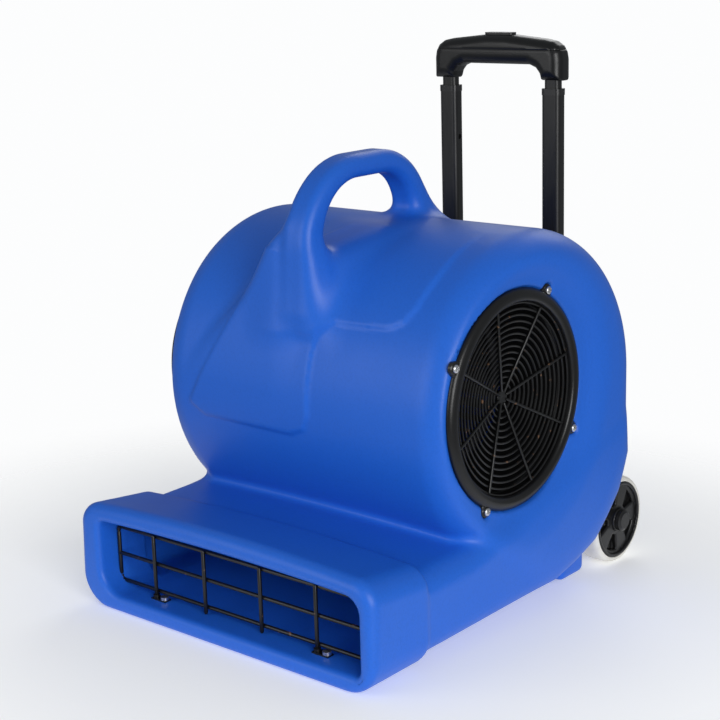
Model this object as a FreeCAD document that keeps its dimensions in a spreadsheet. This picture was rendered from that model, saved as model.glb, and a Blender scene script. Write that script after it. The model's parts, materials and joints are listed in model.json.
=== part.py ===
import FreeCAD, Part
import math
import os

import Sketcher
from FreeCAD import Placement, Rotation, Vector

# A carpet air mover: a moulded scroll housing with a wide, low outlet at the front (-Y), a
# round inlet on each side, a double inlet fan wheel on a motor shaft, a loop handle on top and
# a telescopic trolley handle with two wheels at the back.
#
# Everything is drawn in the housing's own axes: X is the width, with 0 on the middle plane, Y
# runs back from the collar's front face and Z runs up from the collar's bottom. The machine
# stands on its wheels and two front feet, so every sub-part then takes one common placement
# that tips the housing forward and sets it down on the floor.

DIMENSIONS = {
    # how the machine stands
    "stance_angle": 2.53,
    "origin_setback": 258.1,
    "stance_lift": 4.296,
    # scroll housing
    "drum_half_width": 201.0,
    "drum_rim_radius": 42.0,
    "upper_scroll_radius": 170.0,
    "upper_scroll_y": 290.0,
    "upper_scroll_z": 211.0,
    "lower_scroll_radius": 150.0,
    "lower_scroll_y": 310.0,
    "lower_scroll_z": 157.0,
    "shell_wall": 4.5,
    "base_half_width": 195.0,
    "base_bottom": 7.0,
    "base_top": 104.0,
    "base_front": 60.0,
    "base_shoulder_y": 215.0,
    "base_tail_angle": 25.0,
    "base_shoulder_radius": 30.0,
    "collar_half_width": 200.0,
    "collar_bottom": -4.5,
    "collar_top": 114.0,
    "collar_depth": 105.0,
    "collar_corner": 32.0,
    "collar_edge": 9.0,
    "mouth_half_width": 171.0,
    "mouth_bottom": 13.0,
    "mouth_top": 92.0,
    "mouth_corner": 11.0,
    "mouth_depth": 175.0,
    "heel_inner": 132.0,
    "heel_width": 38.0,
    "heel_front": 350.0,
    "heel_length": 46.0,
    "heel_bottom": -11.0,
    "heel_height": 70.0,
    # loop handle
    "loop_bar_width": 36.0,
    "loop_bar_depth": 27.0,
    "loop_front_y": 146.0,
    "loop_root": 292.0,
    "loop_top": 443.5,
    "loop_front_bend": 45.0,
    "loop_rear_bend": 60.0,
    "loop_rear_bend_y": 258.0,
    "loop_rear_bend_angle": 60.0,
    "loop_rear_leg": 68.0,
    # fan axis and side inlets
    "fan_y": 244.0,
    "fan_z": 221.0,
    "inlet_hole_radius": 101.0,
    "inlet_seat": 183.0,
    "inlet_seat_radius": 126.0,
    "inlet_dish_radius": 121.0,
    "ring_flange_radius": 111.5,
    "ring_flange_thickness": 4.5,
    "ring_lip_radius": 98.0,
    "ring_neck_radius": 85.0,
    "ring_neck_x": 108.0,
    "ring_spigot_radius": 100.6,
    "ring_seat_radius": 94.6,
    "ring_wall": 2.6,
    "ear_circle": 114.0,
    "ear_radius": 6.5,
    "ear_start_angle": 62.0,
    "guard_x": 171.0,
    "guard_wire": 1.2,
    "guard_spoke": 1.4,
    "guard_hub_radius": 8.0,
    "guard_outer_radius": 92.4,
    "inlet_screw": 2.0,
    "inlet_screw_head": 4.4,
    # fan wheel
    "wheel_outer_radius": 97.0,
    "blade_depth": 14.0,
    "blade_thickness": 1.2,
    "fan_half_width": 98.0,
    "end_ring_thickness": 2.5,
    "web_thickness": 3.0,
    "blade_count": 36.0,
    "fan_hub_radius": 21.0,
    "fan_hub_length": 30.0,
    # motor
    "shaft_radius": 7.5,
    "shaft_start": -166.0,
    "shaft_end": 24.0,
    "motor_rear": -156.0,
    "motor_front": -30.0,
    "motor_radius": 62.0,
    "motor_case_wall": 1.8,
    "bell_thickness": 12.0,
    "bearing_radius": 17.5,
    "bearing_width": 11.0,
    "stator_bore": 36.5,
    "stator_length": 48.0,
    "rotor_gap": 0.5,
    "running_gap": 0.05,
    "through_bolt": 2.0,
    "through_bolt_circle": 55.0,
    "spider_thickness": 3.0,
    "spider_arm_width": 22.0,
    "capacitor_radius": 20.0,
    "capacitor_length": 72.0,
    # outlet grille
    "grille_y": 27.0,
    "grille_wire": 2.2,
    "grille_lap": 3.5,
    "grille_wire_end": 1.2,
    "grille_half_width": 166.8,
    "grille_low": 20.2,
    "grille_mid": 53.0,
    "grille_high": 86.0,
    "grille_inner_bar": 38.5,
    "grille_outer_bar": 110.5,
    # control panel on the upper back of the drum
    "panel_angle": 36.0,
    "panel_flat_depth": 9.0,
    "panel_width": 96.0,
    "panel_height": 68.0,
    "panel_thickness": 3.0,
    "knob_radius": 19.0,
    "knob_height": 17.0,
    "switch_spindle": 3.0,
    "gland_radius": 9.0,
    "lamp_radius": 6.0,
    # trolley handle
    "trolley_spacing": 70.0,
    "trolley_y": 485.0,
    "outer_tube_width": 27.4,
    "outer_tube_depth": 20.4,
    "outer_tube_bottom": 46.0,
    "outer_tube_top": 324.0,
    "middle_tube_width": 23.0,
    "middle_tube_depth": 16.0,
    "middle_tube_bottom": 190.0,
    "middle_tube_top": 497.0,
    "inner_tube_width": 19.0,
    "inner_tube_depth": 12.0,
    "inner_tube_bottom": 200.0,
    "inner_tube_top": 545.0,
    "tube_wall": 1.3,
    "tube_corner": 5.0,
    "slide_gap": 0.35,
    "outer_cap_lip": 1.6,
    "middle_cap_lip": 0.6,
    "cap_below": 3.0,
    "cap_above": 4.0,
    "grip_half_width": 85.5,
    "grip_depth": 30.0,
    "grip_round": 9.0,
    "grip_end_bottom": 510.0,
    "grip_underside": 526.0,
    "grip_seam": 543.0,
    "grip_top": 559.0,
    "button_length": 38.0,
    "button_width": 13.0,
    # wheels
    "axle_y": 473.0,
    "axle_z": 24.35,
    "axle_radius": 6.0,
    "axle_half_length": 171.0,
    "tyre_radius": 49.5,
    "tyre_inner_radius": 43.5,
    "tyre_width": 29.0,
    "road_wheel_inner_x": 138.0,
    "hub_bore": 6.06,
    "axle_boss_radius": 17.0,
    "axle_boss_inner": 99.0,
    "axle_boss_width": 30.0,
    # front feet
    "foot_radius": 13.0,
    "foot_height": 8.5,
    "foot_x": 140.0,
    "foot_y": 34.0,
}

doc = FreeCAD.newDocument("air_mover")
sheet = doc.addObject("Spreadsheet::Sheet", "dims")
for row, (alias, value) in enumerate(DIMENSIONS.items(), start=1):
    sheet.set("A%d" % row, alias)
    sheet.set("B%d" % row, "%g" % value)
    sheet.setAlias("B%d" % row, alias)
doc.recompute()

AXIS_TURNS = {
    "X": Rotation(Vector(0, 1, 0), 90),
    "Y": Rotation(Vector(1, 0, 0), -90),
    "Z": Rotation(),
}
sub_parts = []


def dim(alias):
    """A driving dimension, read from the sheet."""
    return float(getattr(sheet, alias))


def length_of(expression):
    """The value that a sheet expression has, as a number."""
    value = sheet.evalExpression(expression)
    return float(getattr(value, "Value", value))


def stance():
    """The placement that stands the machine on the floor, over the origin."""
    tip = Rotation(Vector(1, 0, 0), dim("stance_angle"))
    return Placement(Vector(0, -dim("origin_setback"), dim("stance_lift")), tip)


def finish(obj, label):
    """Name a finished sub-part and stand it with the others."""
    obj.Label = label
    obj.Placement = stance().multiply(obj.Placement)
    sub_parts.append(obj)
    return obj


def bind(obj, **expressions):
    for name, expression in expressions.items():
        obj.setExpression(name, expression)


def cylinder(radius, length, base, axis="Z"):
    """A cylinder whose radius and length are sheet expressions, from base along an axis."""
    obj = doc.addObject("Part::Cylinder", "Cylinder")
    bind(obj, Radius=radius, Height=length)
    obj.Placement = Placement(Vector(*base), AXIS_TURNS[axis])
    return obj


def cone(radius_start, radius_end, length, base, axis="Z"):
    obj = doc.addObject("Part::Cone", "Cone")
    bind(obj, Radius1=radius_start, Radius2=radius_end, Height=length)
    obj.Placement = Placement(Vector(*base), AXIS_TURNS[axis])
    return obj


def torus(ring_radius, wire_radius, centre, axis="Z"):
    obj = doc.addObject("Part::Torus", "Torus")
    bind(obj, Radius1=ring_radius, Radius2=wire_radius)
    obj.Placement = Placement(Vector(*centre), AXIS_TURNS[axis])
    return obj


def box(size_x, size_y, size_z, corner):
    """A box whose three sides are sheet expressions, from its lowest corner."""
    obj = doc.addObject("Part::Box", "Box")
    bind(obj, Length=size_x, Width=size_y, Height=size_z)
    obj.Placement = Placement(Vector(*corner), Rotation())
    return obj


def fuse(*shapes):
    obj = doc.addObject("Part::MultiFuse", "Fuse")
    obj.Shapes = list(shapes)
    return obj


def cut(base, *tools):
    obj = doc.addObject("Part::Cut", "Cut")
    obj.Base = base
    obj.Tool = tools[0] if len(tools) == 1 else fuse(*tools)
    return obj


def group(*shapes):
    """Separate solids that share one node."""
    obj = doc.addObject("Part::Compound", "Group")
    obj.Links = list(shapes)
    return obj


def mirrored(source):
    """The same piece on the other side of the middle plane."""
    obj = doc.addObject("Part::Mirroring", "Mirror")
    obj.Source = source
    obj.Base = Vector(0, 0, 0)
    obj.Normal = Vector(1, 0, 0)
    return obj


def both_sides(source, label):
    """Finish a piece that is drawn on the right, and its mirror image on the left."""
    finish(mirrored(source), label + "_left")
    finish(moved(source, (0, 0, 0)), label + "_right")


def moved(obj, offset):
    """A copy of a piece at another place, which follows its source."""
    copy = doc.addObject("Part::Compound", "Copy")
    copy.Links = [obj]
    copy.Placement = Placement(Vector(*offset), Rotation())
    return copy


def new_body(name):
    return doc.addObject("PartDesign::Body", name)


def sketch_on(body, plane, offset="0", name="Sketch"):
    """A sketch on one of the body's own origin planes, lifted off it by an expression."""
    sketch = body.newObject("Sketcher::SketchObject", name)
    roles = {origin.Role: origin for origin in body.Origin.OriginFeatures}
    sketch.AttachmentSupport = [(roles[plane], "")]
    sketch.MapMode = "FlatFace"
    if offset != "0":
        sketch.setExpression("AttachmentOffset.Base.z", offset)
    return sketch


def fix_point(sketch, geometry, end, x, y):
    """Hold one point of the sketch at two sheet expressions from its origin."""
    for kind, expression in (("DistanceX", x), ("DistanceY", y)):
        value = length_of(expression)
        index = sketch.addConstraint(Sketcher.Constraint(kind, -1, 1, geometry, end, value))
        sketch.setExpression("Constraints[%d]" % index, expression)


def add_circle(sketch, x, y, radius):
    centre = Vector(length_of(x), length_of(y), 0)
    shape = Part.Circle(centre, Vector(0, 0, 1), length_of(radius))
    index = sketch.addGeometry(shape, False)
    fix_point(sketch, index, 3, x, y)
    rule = sketch.addConstraint(Sketcher.Constraint("Radius", index, length_of(radius)))
    sketch.setExpression("Constraints[%d]" % rule, radius)
    return index


def add_polygon(sketch, points):
    """A closed outline of straight lines through points given as expression pairs."""
    corners = [Vector(length_of(x), length_of(y), 0) for x, y in points]
    first = None
    for number, corner in enumerate(corners):
        line = Part.LineSegment(corner, corners[(number + 1) % len(corners)])
        index = sketch.addGeometry(line, False)
        first = index if first is None else first
    for number, (x, y) in enumerate(points):
        following = first + (number + 1) % len(points)
        sketch.addConstraint(Sketcher.Constraint("Coincident", first + number, 2, following, 1))
        fix_point(sketch, first + number, 1, x, y)


def add_rounded_rectangle(sketch, x, y, width, height, corner):
    """A rectangle with round corners about a centre, all given as expressions."""
    cx, cy = length_of(x), length_of(y)
    half_w, half_h, r = length_of(width) / 2, length_of(height) / 2, length_of(corner)
    left, right, low, high = cx - half_w, cx + half_w, cy - half_h, cy + half_h
    straights = [
        ((left + r, low), (right - r, low)),
        ((right, low + r), (right, high - r)),
        ((right - r, high), (left + r, high)),
        ((left, high - r), (left, low + r)),
    ]
    centres = [(right - r, low + r), (right - r, high - r), (left + r, high - r), (left + r, low + r)]
    lines = [sketch.addGeometry(Part.LineSegment(Vector(*a, 0), Vector(*b, 0)), False) for a, b in straights]
    arcs = []
    for quarter, (ax, ay) in enumerate(centres):
        whole = Part.Circle(Vector(ax, ay, 0), Vector(0, 0, 1), r)
        start = (quarter - 1) * math.pi / 2
        arcs.append(sketch.addGeometry(Part.ArcOfCircle(whole, start, start + math.pi / 2), False))
    for side in range(4):
        sketch.addConstraint(Sketcher.Constraint("Tangent", lines[side], 2, arcs[side], 1))
        sketch.addConstraint(Sketcher.Constraint("Tangent", arcs[side], 2, lines[(side + 1) % 4], 1))
        if side:
            sketch.addConstraint(Sketcher.Constraint("Equal", arcs[0], arcs[side]))
    for side in (0, 2):
        sketch.addConstraint(Sketcher.Constraint("Horizontal", lines[side]))
        sketch.addConstraint(Sketcher.Constraint("Vertical", lines[side + 1]))
    rule = sketch.addConstraint(Sketcher.Constraint("Radius", arcs[0], r))
    sketch.setExpression("Constraints[%d]" % rule, corner)
    rules = [
        ("DistanceX", (lines[3], 1, lines[1], 1), 2 * half_w, width),
        ("DistanceY", (lines[0], 1, lines[2], 1), 2 * half_h, height),
        ("DistanceX", (-1, 1, lines[3], 1), left, "%s - (%s) / 2" % (x, width)),
        ("DistanceY", (-1, 1, lines[0], 1), low, "%s - (%s) / 2" % (y, height)),
    ]
    for kind, ends, value, expression in rules:
        rule = sketch.addConstraint(Sketcher.Constraint(kind, *ends, value))
        sketch.setExpression("Constraints[%d]" % rule, expression)


def pad(body, sketch, length, midplane=False, backwards=False):
    feature = body.newObject("PartDesign::Pad", "Pad")
    feature.Profile = sketch
    feature.setExpression("Length", length)
    feature.Midplane = midplane
    feature.Reversed = backwards
    doc.recompute()
    return feature


def pocket(body, sketch, length, midplane=False, backwards=False):
    """Cut a sketch into the body, checking that it takes something away."""
    before = body.Shape.Volume
    feature = body.newObject("PartDesign::Pocket", "Pocket")
    feature.Profile = sketch
    feature.setExpression("Length", length)
    feature.Midplane = midplane
    feature.Reversed = backwards
    doc.recompute()
    if body.Shape.Volume > before - 1e-3:
        raise ValueError("pocket in %s cuts nothing" % body.Label)
    return feature


def revolve(body, sketch, axis="V_Axis"):
    feature = body.newObject("PartDesign::Revolution", "Revolution")
    feature.Profile = sketch
    feature.ReferenceAxis = (sketch, [axis])
    feature.Angle = 360
    doc.recompute()
    return feature


def round_edges(body, radius, chosen):
    """Fillet the edges of the body that the test accepts."""
    feature = body.newObject("PartDesign::Fillet", "Fillet")
    edges = ["Edge%d" % (number + 1) for number, edge in enumerate(body.Shape.Edges) if chosen(edge)]
    feature.Base = (body.Tip if body.Tip != feature else feature.BaseFeature, edges)
    feature.setExpression("Radius", radius)
    doc.recompute()
    return feature


def turned_part(name, points, centre, axis="X"):
    """A solid of revolution: the outline's first number is the distance along the axis, its
    second the radius. The axis runs through the centre."""
    body = new_body(name)
    sketch = sketch_on(body, "XZ_Plane")
    add_polygon(sketch, [(radius, along) for along, radius in points])
    revolve(body, sketch)
    body.Placement = Placement(Vector(*centre), AXIS_TURNS[axis])
    return body


def around_fan(radius, angle_deg, x):
    """A point beside the fan's axis, at a radius and an angle up from straight back."""
    angle = math.radians(angle_deg)
    return (x, dim("fan_y") + radius * math.cos(angle), dim("fan_z") + radius * math.sin(angle))


# ---------------------------------------------------------------- scroll housing


def scroll_outline(sketch, inset):
    """Two circles, the upper one further forward, joined by their outer tangents."""
    upper = (dim("upper_scroll_y"), dim("upper_scroll_z"), dim("upper_scroll_radius") - length_of(inset))
    lower = (dim("lower_scroll_y"), dim("lower_scroll_z"), dim("lower_scroll_radius") - length_of(inset))
    away = (lower[0] - upper[0], lower[1] - upper[1])
    heading = math.atan2(away[1], away[0])
    spread = math.acos((upper[2] - lower[2]) / math.hypot(*away))
    back, front = heading + spread, heading - spread
    arcs = []
    for (cx, cy, radius), start, end in ((upper, back, front + 2 * math.pi), (lower, front, back)):
        whole = Part.Circle(Vector(cx, cy, 0), Vector(0, 0, 1), radius)
        arcs.append(sketch.addGeometry(Part.ArcOfCircle(whole, start, end), False))
    ends = []
    for angle in (back, front):
        for cx, cy, radius in (upper, lower):
            ends.append(Vector(cx + radius * math.cos(angle), cy + radius * math.sin(angle), 0))
    rear_line = sketch.addGeometry(Part.LineSegment(ends[1], ends[0]), False)
    front_line = sketch.addGeometry(Part.LineSegment(ends[2], ends[3]), False)
    for first, first_end, second, second_end in (
        (arcs[0], 2, front_line, 1), (front_line, 2, arcs[1], 1),
        (arcs[1], 2, rear_line, 1), (rear_line, 2, arcs[0], 1),
    ):
        sketch.addConstraint(Sketcher.Constraint("Tangent", first, first_end, second, second_end))
    for arc, part in ((arcs[0], "upper"), (arcs[1], "lower")):
        fix_point(sketch, arc, 3, "dims.%s_scroll_y" % part, "dims.%s_scroll_z" % part)
        radius = "dims.%s_scroll_radius - (%s)" % (part, inset)
        rule = sketch.addConstraint(Sketcher.Constraint("Radius", arc, length_of(radius)))
        sketch.setExpression("Constraints[%d]" % rule, radius)


def scroll_drum(inset):
    """The drum: the scroll outline across the full width, with large round rims."""
    body = new_body("Drum")
    sketch = sketch_on(body, "YZ_Plane")
    scroll_outline(sketch, inset)
    pad(body, sketch, "2 * (dims.drum_half_width - (%s))" % inset, midplane=True)
    rim_x = dim("drum_half_width") - length_of(inset)
    round_edges(body, "dims.drum_rim_radius - (%s)" % inset,
                lambda edge: abs(abs(edge.CenterOfMass.x) - rim_x) < 0.01)
    return body


def base_skirt(inset):
    """The wide base under the drum, whose tail follows the lower scroll up at the back."""
    body = new_body("Base")
    sketch = sketch_on(body, "YZ_Plane")
    tail = math.radians(dim("base_tail_angle"))
    radius = dim("lower_scroll_radius") - length_of(inset)
    centre = Vector(dim("lower_scroll_y"), dim("lower_scroll_z"), 0)
    low_front = Vector(dim("base_front"), dim("base_bottom") + length_of(inset), 0)
    low_rear = centre + Vector(0, -radius, 0)
    tail_end = centre + Vector(radius * math.cos(tail), -radius * math.sin(tail), 0)
    shoulder = Vector(dim("base_shoulder_y"), dim("base_top") - length_of(inset), 0)
    high_front = Vector(dim("base_front"), shoulder.y, 0)
    sketch.addGeometry(Part.LineSegment(low_front, low_rear), False)
    whole = Part.Circle(centre, Vector(0, 0, 1), radius)
    sketch.addGeometry(Part.ArcOfCircle(whole, -math.pi / 2, -tail), False)
    sketch.addGeometry(Part.LineSegment(tail_end, shoulder), False)
    sketch.addGeometry(Part.LineSegment(shoulder, high_front), False)
    sketch.addGeometry(Part.LineSegment(high_front, low_front), False)
    for first in range(5):
        sketch.addConstraint(Sketcher.Constraint("Coincident", first, 2, (first + 1) % 5, 1))
    fix_point(sketch, 1, 3, "dims.lower_scroll_y", "dims.lower_scroll_z")
    fix_point(sketch, 0, 1, "dims.base_front", "dims.base_bottom + (%s)" % inset)
    fix_point(sketch, 3, 1, "dims.base_shoulder_y", "dims.base_top - (%s)" % inset)
    sketch.addConstraint(Sketcher.Constraint("Vertical", 4))
    sketch.addConstraint(Sketcher.Constraint("Horizontal", 3))
    pad(body, sketch, "2 * (dims.base_half_width - (%s))" % inset, midplane=True)
    side_x = dim("base_half_width") - length_of(inset)
    round_edges(body, "dims.base_shoulder_radius - (%s)" % inset,
                lambda edge: abs(abs(edge.CenterOfMass.x) - side_x) < 0.01
                and abs(edge.CenterOfMass.z - shoulder.y) < 0.01)
    return body


def front_block(half_width, bottom, top, corner, depth):
    """A block with round corners, running back from the front face."""
    body = new_body("Block")
    sketch = sketch_on(body, "XZ_Plane")
    width = "2 * (%s)" % half_width
    height = "(%s) - (%s)" % (top, bottom)
    add_rounded_rectangle(sketch, "0", "((%s) + (%s)) / 2" % (top, bottom), width, height, corner)
    pad(body, sketch, depth, backwards=True)
    return body


def collar_block():
    body = front_block("dims.collar_half_width", "dims.collar_bottom", "dims.collar_top",
                       "dims.collar_corner", "dims.collar_depth")
    round_edges(body, "dims.collar_edge",
                lambda edge: abs(edge.CenterOfMass.y) < 0.01
                or abs(edge.CenterOfMass.y - dim("collar_depth")) < 0.01)
    return body


def loop_handle():
    """The carrying handle: one bar bent over the middle of the drum."""
    body = new_body("LoopHandle")
    profile = sketch_on(body, "XY_Plane", "dims.loop_root", "LoopProfile")
    add_rounded_rectangle(profile, "0", "dims.loop_front_y", "dims.loop_bar_width",
                          "dims.loop_bar_depth", "dims.loop_bar_depth * 0.42")
    path = sketch_on(body, "YZ_Plane", name="LoopPath")
    front_y, root, top = dim("loop_front_y"), dim("loop_root"), dim("loop_top")
    first, second = dim("loop_front_bend"), dim("loop_rear_bend")
    turn = math.radians(dim("loop_rear_bend_angle"))
    bend_y = dim("loop_rear_bend_y")
    path.addGeometry(Part.LineSegment(Vector(front_y, root, 0), Vector(front_y, top - first, 0)), False)
    whole = Part.Circle(Vector(front_y + first, top - first, 0), Vector(0, 0, 1), first)
    path.addGeometry(Part.ArcOfCircle(whole, math.pi / 2, math.pi), False)
    path.addGeometry(Part.LineSegment(Vector(front_y + first, top, 0), Vector(bend_y, top, 0)), False)
    whole = Part.Circle(Vector(bend_y, top - second, 0), Vector(0, 0, 1), second)
    path.addGeometry(Part.ArcOfCircle(whole, math.pi / 2 - turn, math.pi / 2), False)
    knee = Vector(bend_y + second * math.sin(turn), top - second + second * math.cos(turn), 0)
    reach = dim("loop_rear_leg")
    foot = knee + Vector(reach * math.cos(turn), -reach * math.sin(turn), 0)
    path.addGeometry(Part.LineSegment(knee, foot), False)
    for joint in ((0, 2, 1, 2), (1, 1, 2, 1), (2, 2, 3, 2), (3, 1, 4, 1)):
        path.addConstraint(Sketcher.Constraint("Coincident", *joint))
    fix_point(path, 0, 1, "dims.loop_front_y", "dims.loop_root")
    fix_point(path, 1, 3, "dims.loop_front_y + dims.loop_front_bend", "dims.loop_top - dims.loop_front_bend")
    fix_point(path, 3, 3, "dims.loop_rear_bend_y", "dims.loop_top - dims.loop_rear_bend")
    doc.recompute()
    pipe = body.newObject("PartDesign::AdditivePipe", "LoopPipe")
    pipe.Profile = profile
    pipe.Spine = (path, ["Edge%d" % number for number in range(1, 6)])
    doc.recompute()
    return body


def axle_boss(side):
    """A web under the drum that carries the axle beside one wheel."""
    start = dim("axle_boss_inner") if side > 0 else -dim("axle_boss_inner") - dim("axle_boss_width")
    body = new_body("AxleBoss")
    sketch = sketch_on(body, "YZ_Plane")
    add_polygon(sketch, [
        ("dims.heel_front", "dims.base_bottom + 2"),
        ("dims.axle_y", "dims.axle_z - dims.axle_boss_radius"),
        ("dims.axle_y", "dims.axle_z + dims.axle_boss_radius"),
        ("dims.heel_front + 60", "dims.axle_z + dims.axle_boss_radius + 22"),
        ("dims.heel_front", "dims.axle_z + dims.axle_boss_radius + 22"),
    ])
    pad(body, sketch, "dims.axle_boss_width")
    body.Placement = Placement(Vector(start, 0, 0), Rotation())
    eye = cylinder("dims.axle_boss_radius", "dims.axle_boss_width",
                   (start, dim("axle_y"), dim("axle_z")), "X")
    return fuse(body, eye)


def heel(side):
    """A skid just ahead of the wheel, moulded on the underside."""
    start = dim("heel_inner") if side > 0 else -dim("heel_inner") - dim("heel_width")
    return box("dims.heel_width", "dims.heel_length", "dims.heel_height",
               (start, dim("heel_front"), dim("heel_bottom")))


def on_both_sides(maker):
    return [maker(1), maker(-1)]


def panel_frame():
    """The placement whose Z leaves the control panel's flat and whose X runs across."""
    angle = dim("panel_angle")
    reach = dim("upper_scroll_radius") - dim("panel_flat_depth")
    turn = math.radians(angle)
    base = Vector(0, dim("upper_scroll_y") + reach * math.cos(turn),
                  dim("upper_scroll_z") + reach * math.sin(turn))
    return Placement(base, Rotation(Vector(1, 0, 0), angle - 90))


def on_panel(obj):
    obj.Placement = panel_frame().multiply(obj.Placement)
    return obj


def inlet_seat(side):
    """The thick ring of shell that an inlet ring is screwed to."""
    start = dim("inlet_seat") - 9 if side > 0 else -dim("drum_half_width")
    return cylinder("dims.inlet_seat_radius", "dims.drum_half_width - dims.inlet_seat + 9",
                    (start, dim("fan_y"), dim("fan_z")), "X")


def inlet_dish(side):
    start = dim("inlet_seat") if side > 0 else -dim("inlet_seat") - 40
    return cylinder("dims.inlet_dish_radius", "40", (start, dim("fan_y"), dim("fan_z")), "X")


def foot_cavity(side):
    """The pocket that a front foot fills, square to the floor."""
    foot = front_foot(side)
    foot.Placement = stance().inverse().multiply(foot.Placement)
    return foot


def front_foot(side):
    place = (side * dim("foot_x"), dim("foot_y") - dim("origin_setback"), 0)
    return cylinder("dims.foot_radius", "dims.foot_height", place)


def screw_hole(side, index):
    angle = dim("ear_start_angle") + 90 * index
    start = dim("inlet_seat") - 8 if side > 0 else -dim("inlet_seat") - 2
    return cylinder("dims.inlet_screw", "10", around_fan(dim("ear_circle"), angle, start), "X")


def make_housing():
    outside = fuse(scroll_drum("0"), base_skirt("0"), collar_block(), loop_handle(),
                   *on_both_sides(axle_boss), *on_both_sides(heel))
    width = dim("panel_width") + 8
    flat = on_panel(box("dims.panel_width + 8", "dims.panel_height + 40",
                        "dims.panel_flat_depth + 4",
                        (-width / 2, -(dim("panel_height") + 40) / 2, 0)))
    backing = on_panel(box("dims.panel_width + 8", "dims.panel_height + 20", "dims.shell_wall + 9",
                           (-width / 2, -(dim("panel_height") + 20) / 2, -dim("shell_wall"))))
    inside = fuse(scroll_drum("dims.shell_wall"), base_skirt("dims.shell_wall"))
    mouth = front_block("dims.mouth_half_width", "dims.mouth_bottom", "dims.mouth_top",
                        "dims.mouth_corner", "dims.mouth_depth")
    seats = [inlet_seat(side) for side in (1, -1)]
    hollow = cut(inside, *seats, backing)
    holes = [cylinder("dims.inlet_hole_radius", "2 * dims.drum_half_width + 20",
                      (-dim("drum_half_width") - 10, dim("fan_y"), dim("fan_z")), "X")]
    dishes = [inlet_dish(side) for side in (1, -1)]
    feet = [foot_cavity(side) for side in (1, -1)]
    axle_hole = cylinder("dims.axle_radius + dims.running_gap", "2 * dims.axle_half_length",
                         (-dim("axle_half_length"), dim("axle_y"), dim("axle_z")), "X")
    screws = [screw_hole(side, index) for side in (1, -1) for index in range(4)]
    shell = cut(outside, hollow, mouth, flat, *holes, *dishes, *feet, axle_hole, *screws,
                *panel_cut_outs(), *grille_fixings(), *bracket_screw_shanks())
    finish(shell, "housing")


# ---------------------------------------------------------------- side inlets


def ring_solid():
    """A flange with a round lip outside, a seat for the guard and a bellmouth inwards."""
    seat, lip = "dims.inlet_seat", "dims.ring_lip_radius"
    face = "dims.inlet_seat + dims.ring_flange_thickness"
    wall, neck = "dims.ring_wall", "dims.ring_neck_radius"
    outline = [
        (seat, "dims.ring_flange_radius"),
        ("%s - 1.5" % face, "dims.ring_flange_radius"),
        (face, "dims.ring_flange_radius - 1.5"),
        (face, "%s + 2" % lip),
        ("%s - 1.5" % face, lip),
        ("dims.guard_x + 1.5", "%s - 0.8" % lip),
        ("dims.guard_x + 1.5", "dims.ring_seat_radius"),
        ("dims.guard_x - 3", "dims.ring_seat_radius - 1.4"),
        ("dims.guard_x - 32", "%s + 3" % neck),
        ("dims.ring_neck_x + 12", "%s + 0.6" % neck),
        ("dims.ring_neck_x", neck),
        ("dims.ring_neck_x", "%s + %s" % (neck, wall)),
        ("dims.ring_neck_x + 12", "%s + 0.6 + %s" % (neck, wall)),
        ("dims.guard_x - 32", "%s + 3 + %s" % (neck, wall)),
        ("dims.guard_x - 3", "dims.ring_seat_radius - 1.4 + %s" % wall),
        ("dims.guard_x + 3", "dims.ring_spigot_radius"),
        (seat, "dims.ring_spigot_radius"),
    ]
    ring = turned_part("InletRing", outline, (0, dim("fan_y"), dim("fan_z")))
    start = dim("inlet_seat")
    ears = [cylinder("dims.ear_radius", "dims.ring_flange_thickness",
                     around_fan(dim("ear_circle"), dim("ear_start_angle") + 90 * index, start), "X")
            for index in range(4)]
    holes = [cylinder("dims.inlet_screw", "20", around_fan(
        dim("ear_circle"), dim("ear_start_angle") + 90 * index, start - 5), "X") for index in range(4)]
    return cut(fuse(ring, *ears), *holes)


def guard_solid():
    """Concentric wire rings on eight spokes round a small hub."""
    centre = (dim("guard_x"), dim("fan_y"), dim("fan_z"))
    count = 12
    first = dim("guard_hub_radius") + 6
    step = (dim("guard_outer_radius") - first) / (count - 1)
    rings = [torus("%g" % (first + step * index), "dims.guard_wire", centre, "X") for index in range(count)]
    hub = cylinder("dims.guard_hub_radius", "3", (centre[0] - 1.5, centre[1], centre[2]), "X")
    spokes = []
    for index in range(8):
        spoke = cylinder("dims.guard_spoke", "dims.guard_outer_radius", centre)
        angle = dim("ear_start_angle") + 45 * index
        spoke.Placement = Placement(Vector(*centre), Rotation(Vector(1, 0, 0), angle))
        spokes.append(spoke)
    return fuse(hub, *rings, *spokes)


def inlet_screws():
    screws = []
    face = dim("inlet_seat") + dim("ring_flange_thickness")
    for index in range(4):
        angle = dim("ear_start_angle") + 90 * index
        shank = cylinder("dims.inlet_screw", "dims.ring_flange_thickness + 7",
                         around_fan(dim("ear_circle"), angle, dim("inlet_seat") - 7), "X")
        head = cylinder("dims.inlet_screw_head", "2.4", around_fan(dim("ear_circle"), angle, face), "X")
        screws.append(fuse(shank, head))
    return group(*screws)


def make_inlets():
    ring, guard, screws = ring_solid(), guard_solid(), inlet_screws()
    finish(mirrored_ring_for_motor(ring), "inlet_ring_left")
    finish(moved(ring, (0, 0, 0)), "inlet_ring_right")
    both_sides(guard, "inlet_guard")
    both_sides(screws, "inlet_screws")


# ---------------------------------------------------------------- fan wheel and motor


def spider_screw_set(radius, start, length):
    """Four radial cylinders through the bellmouth, where the motor's arms end."""
    x = dim("motor_rear") - 6
    tools = []
    for index in range(4):
        angle = 45 + 90 * index
        tool = cylinder(radius, length, (0, 0, 0))
        turn = Rotation(Vector(1, 0, 0), angle - 90)
        tool.Placement = Placement(Vector(*around_fan(start, angle, x)), turn)
        tools.append(tool)
    return tools


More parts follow.
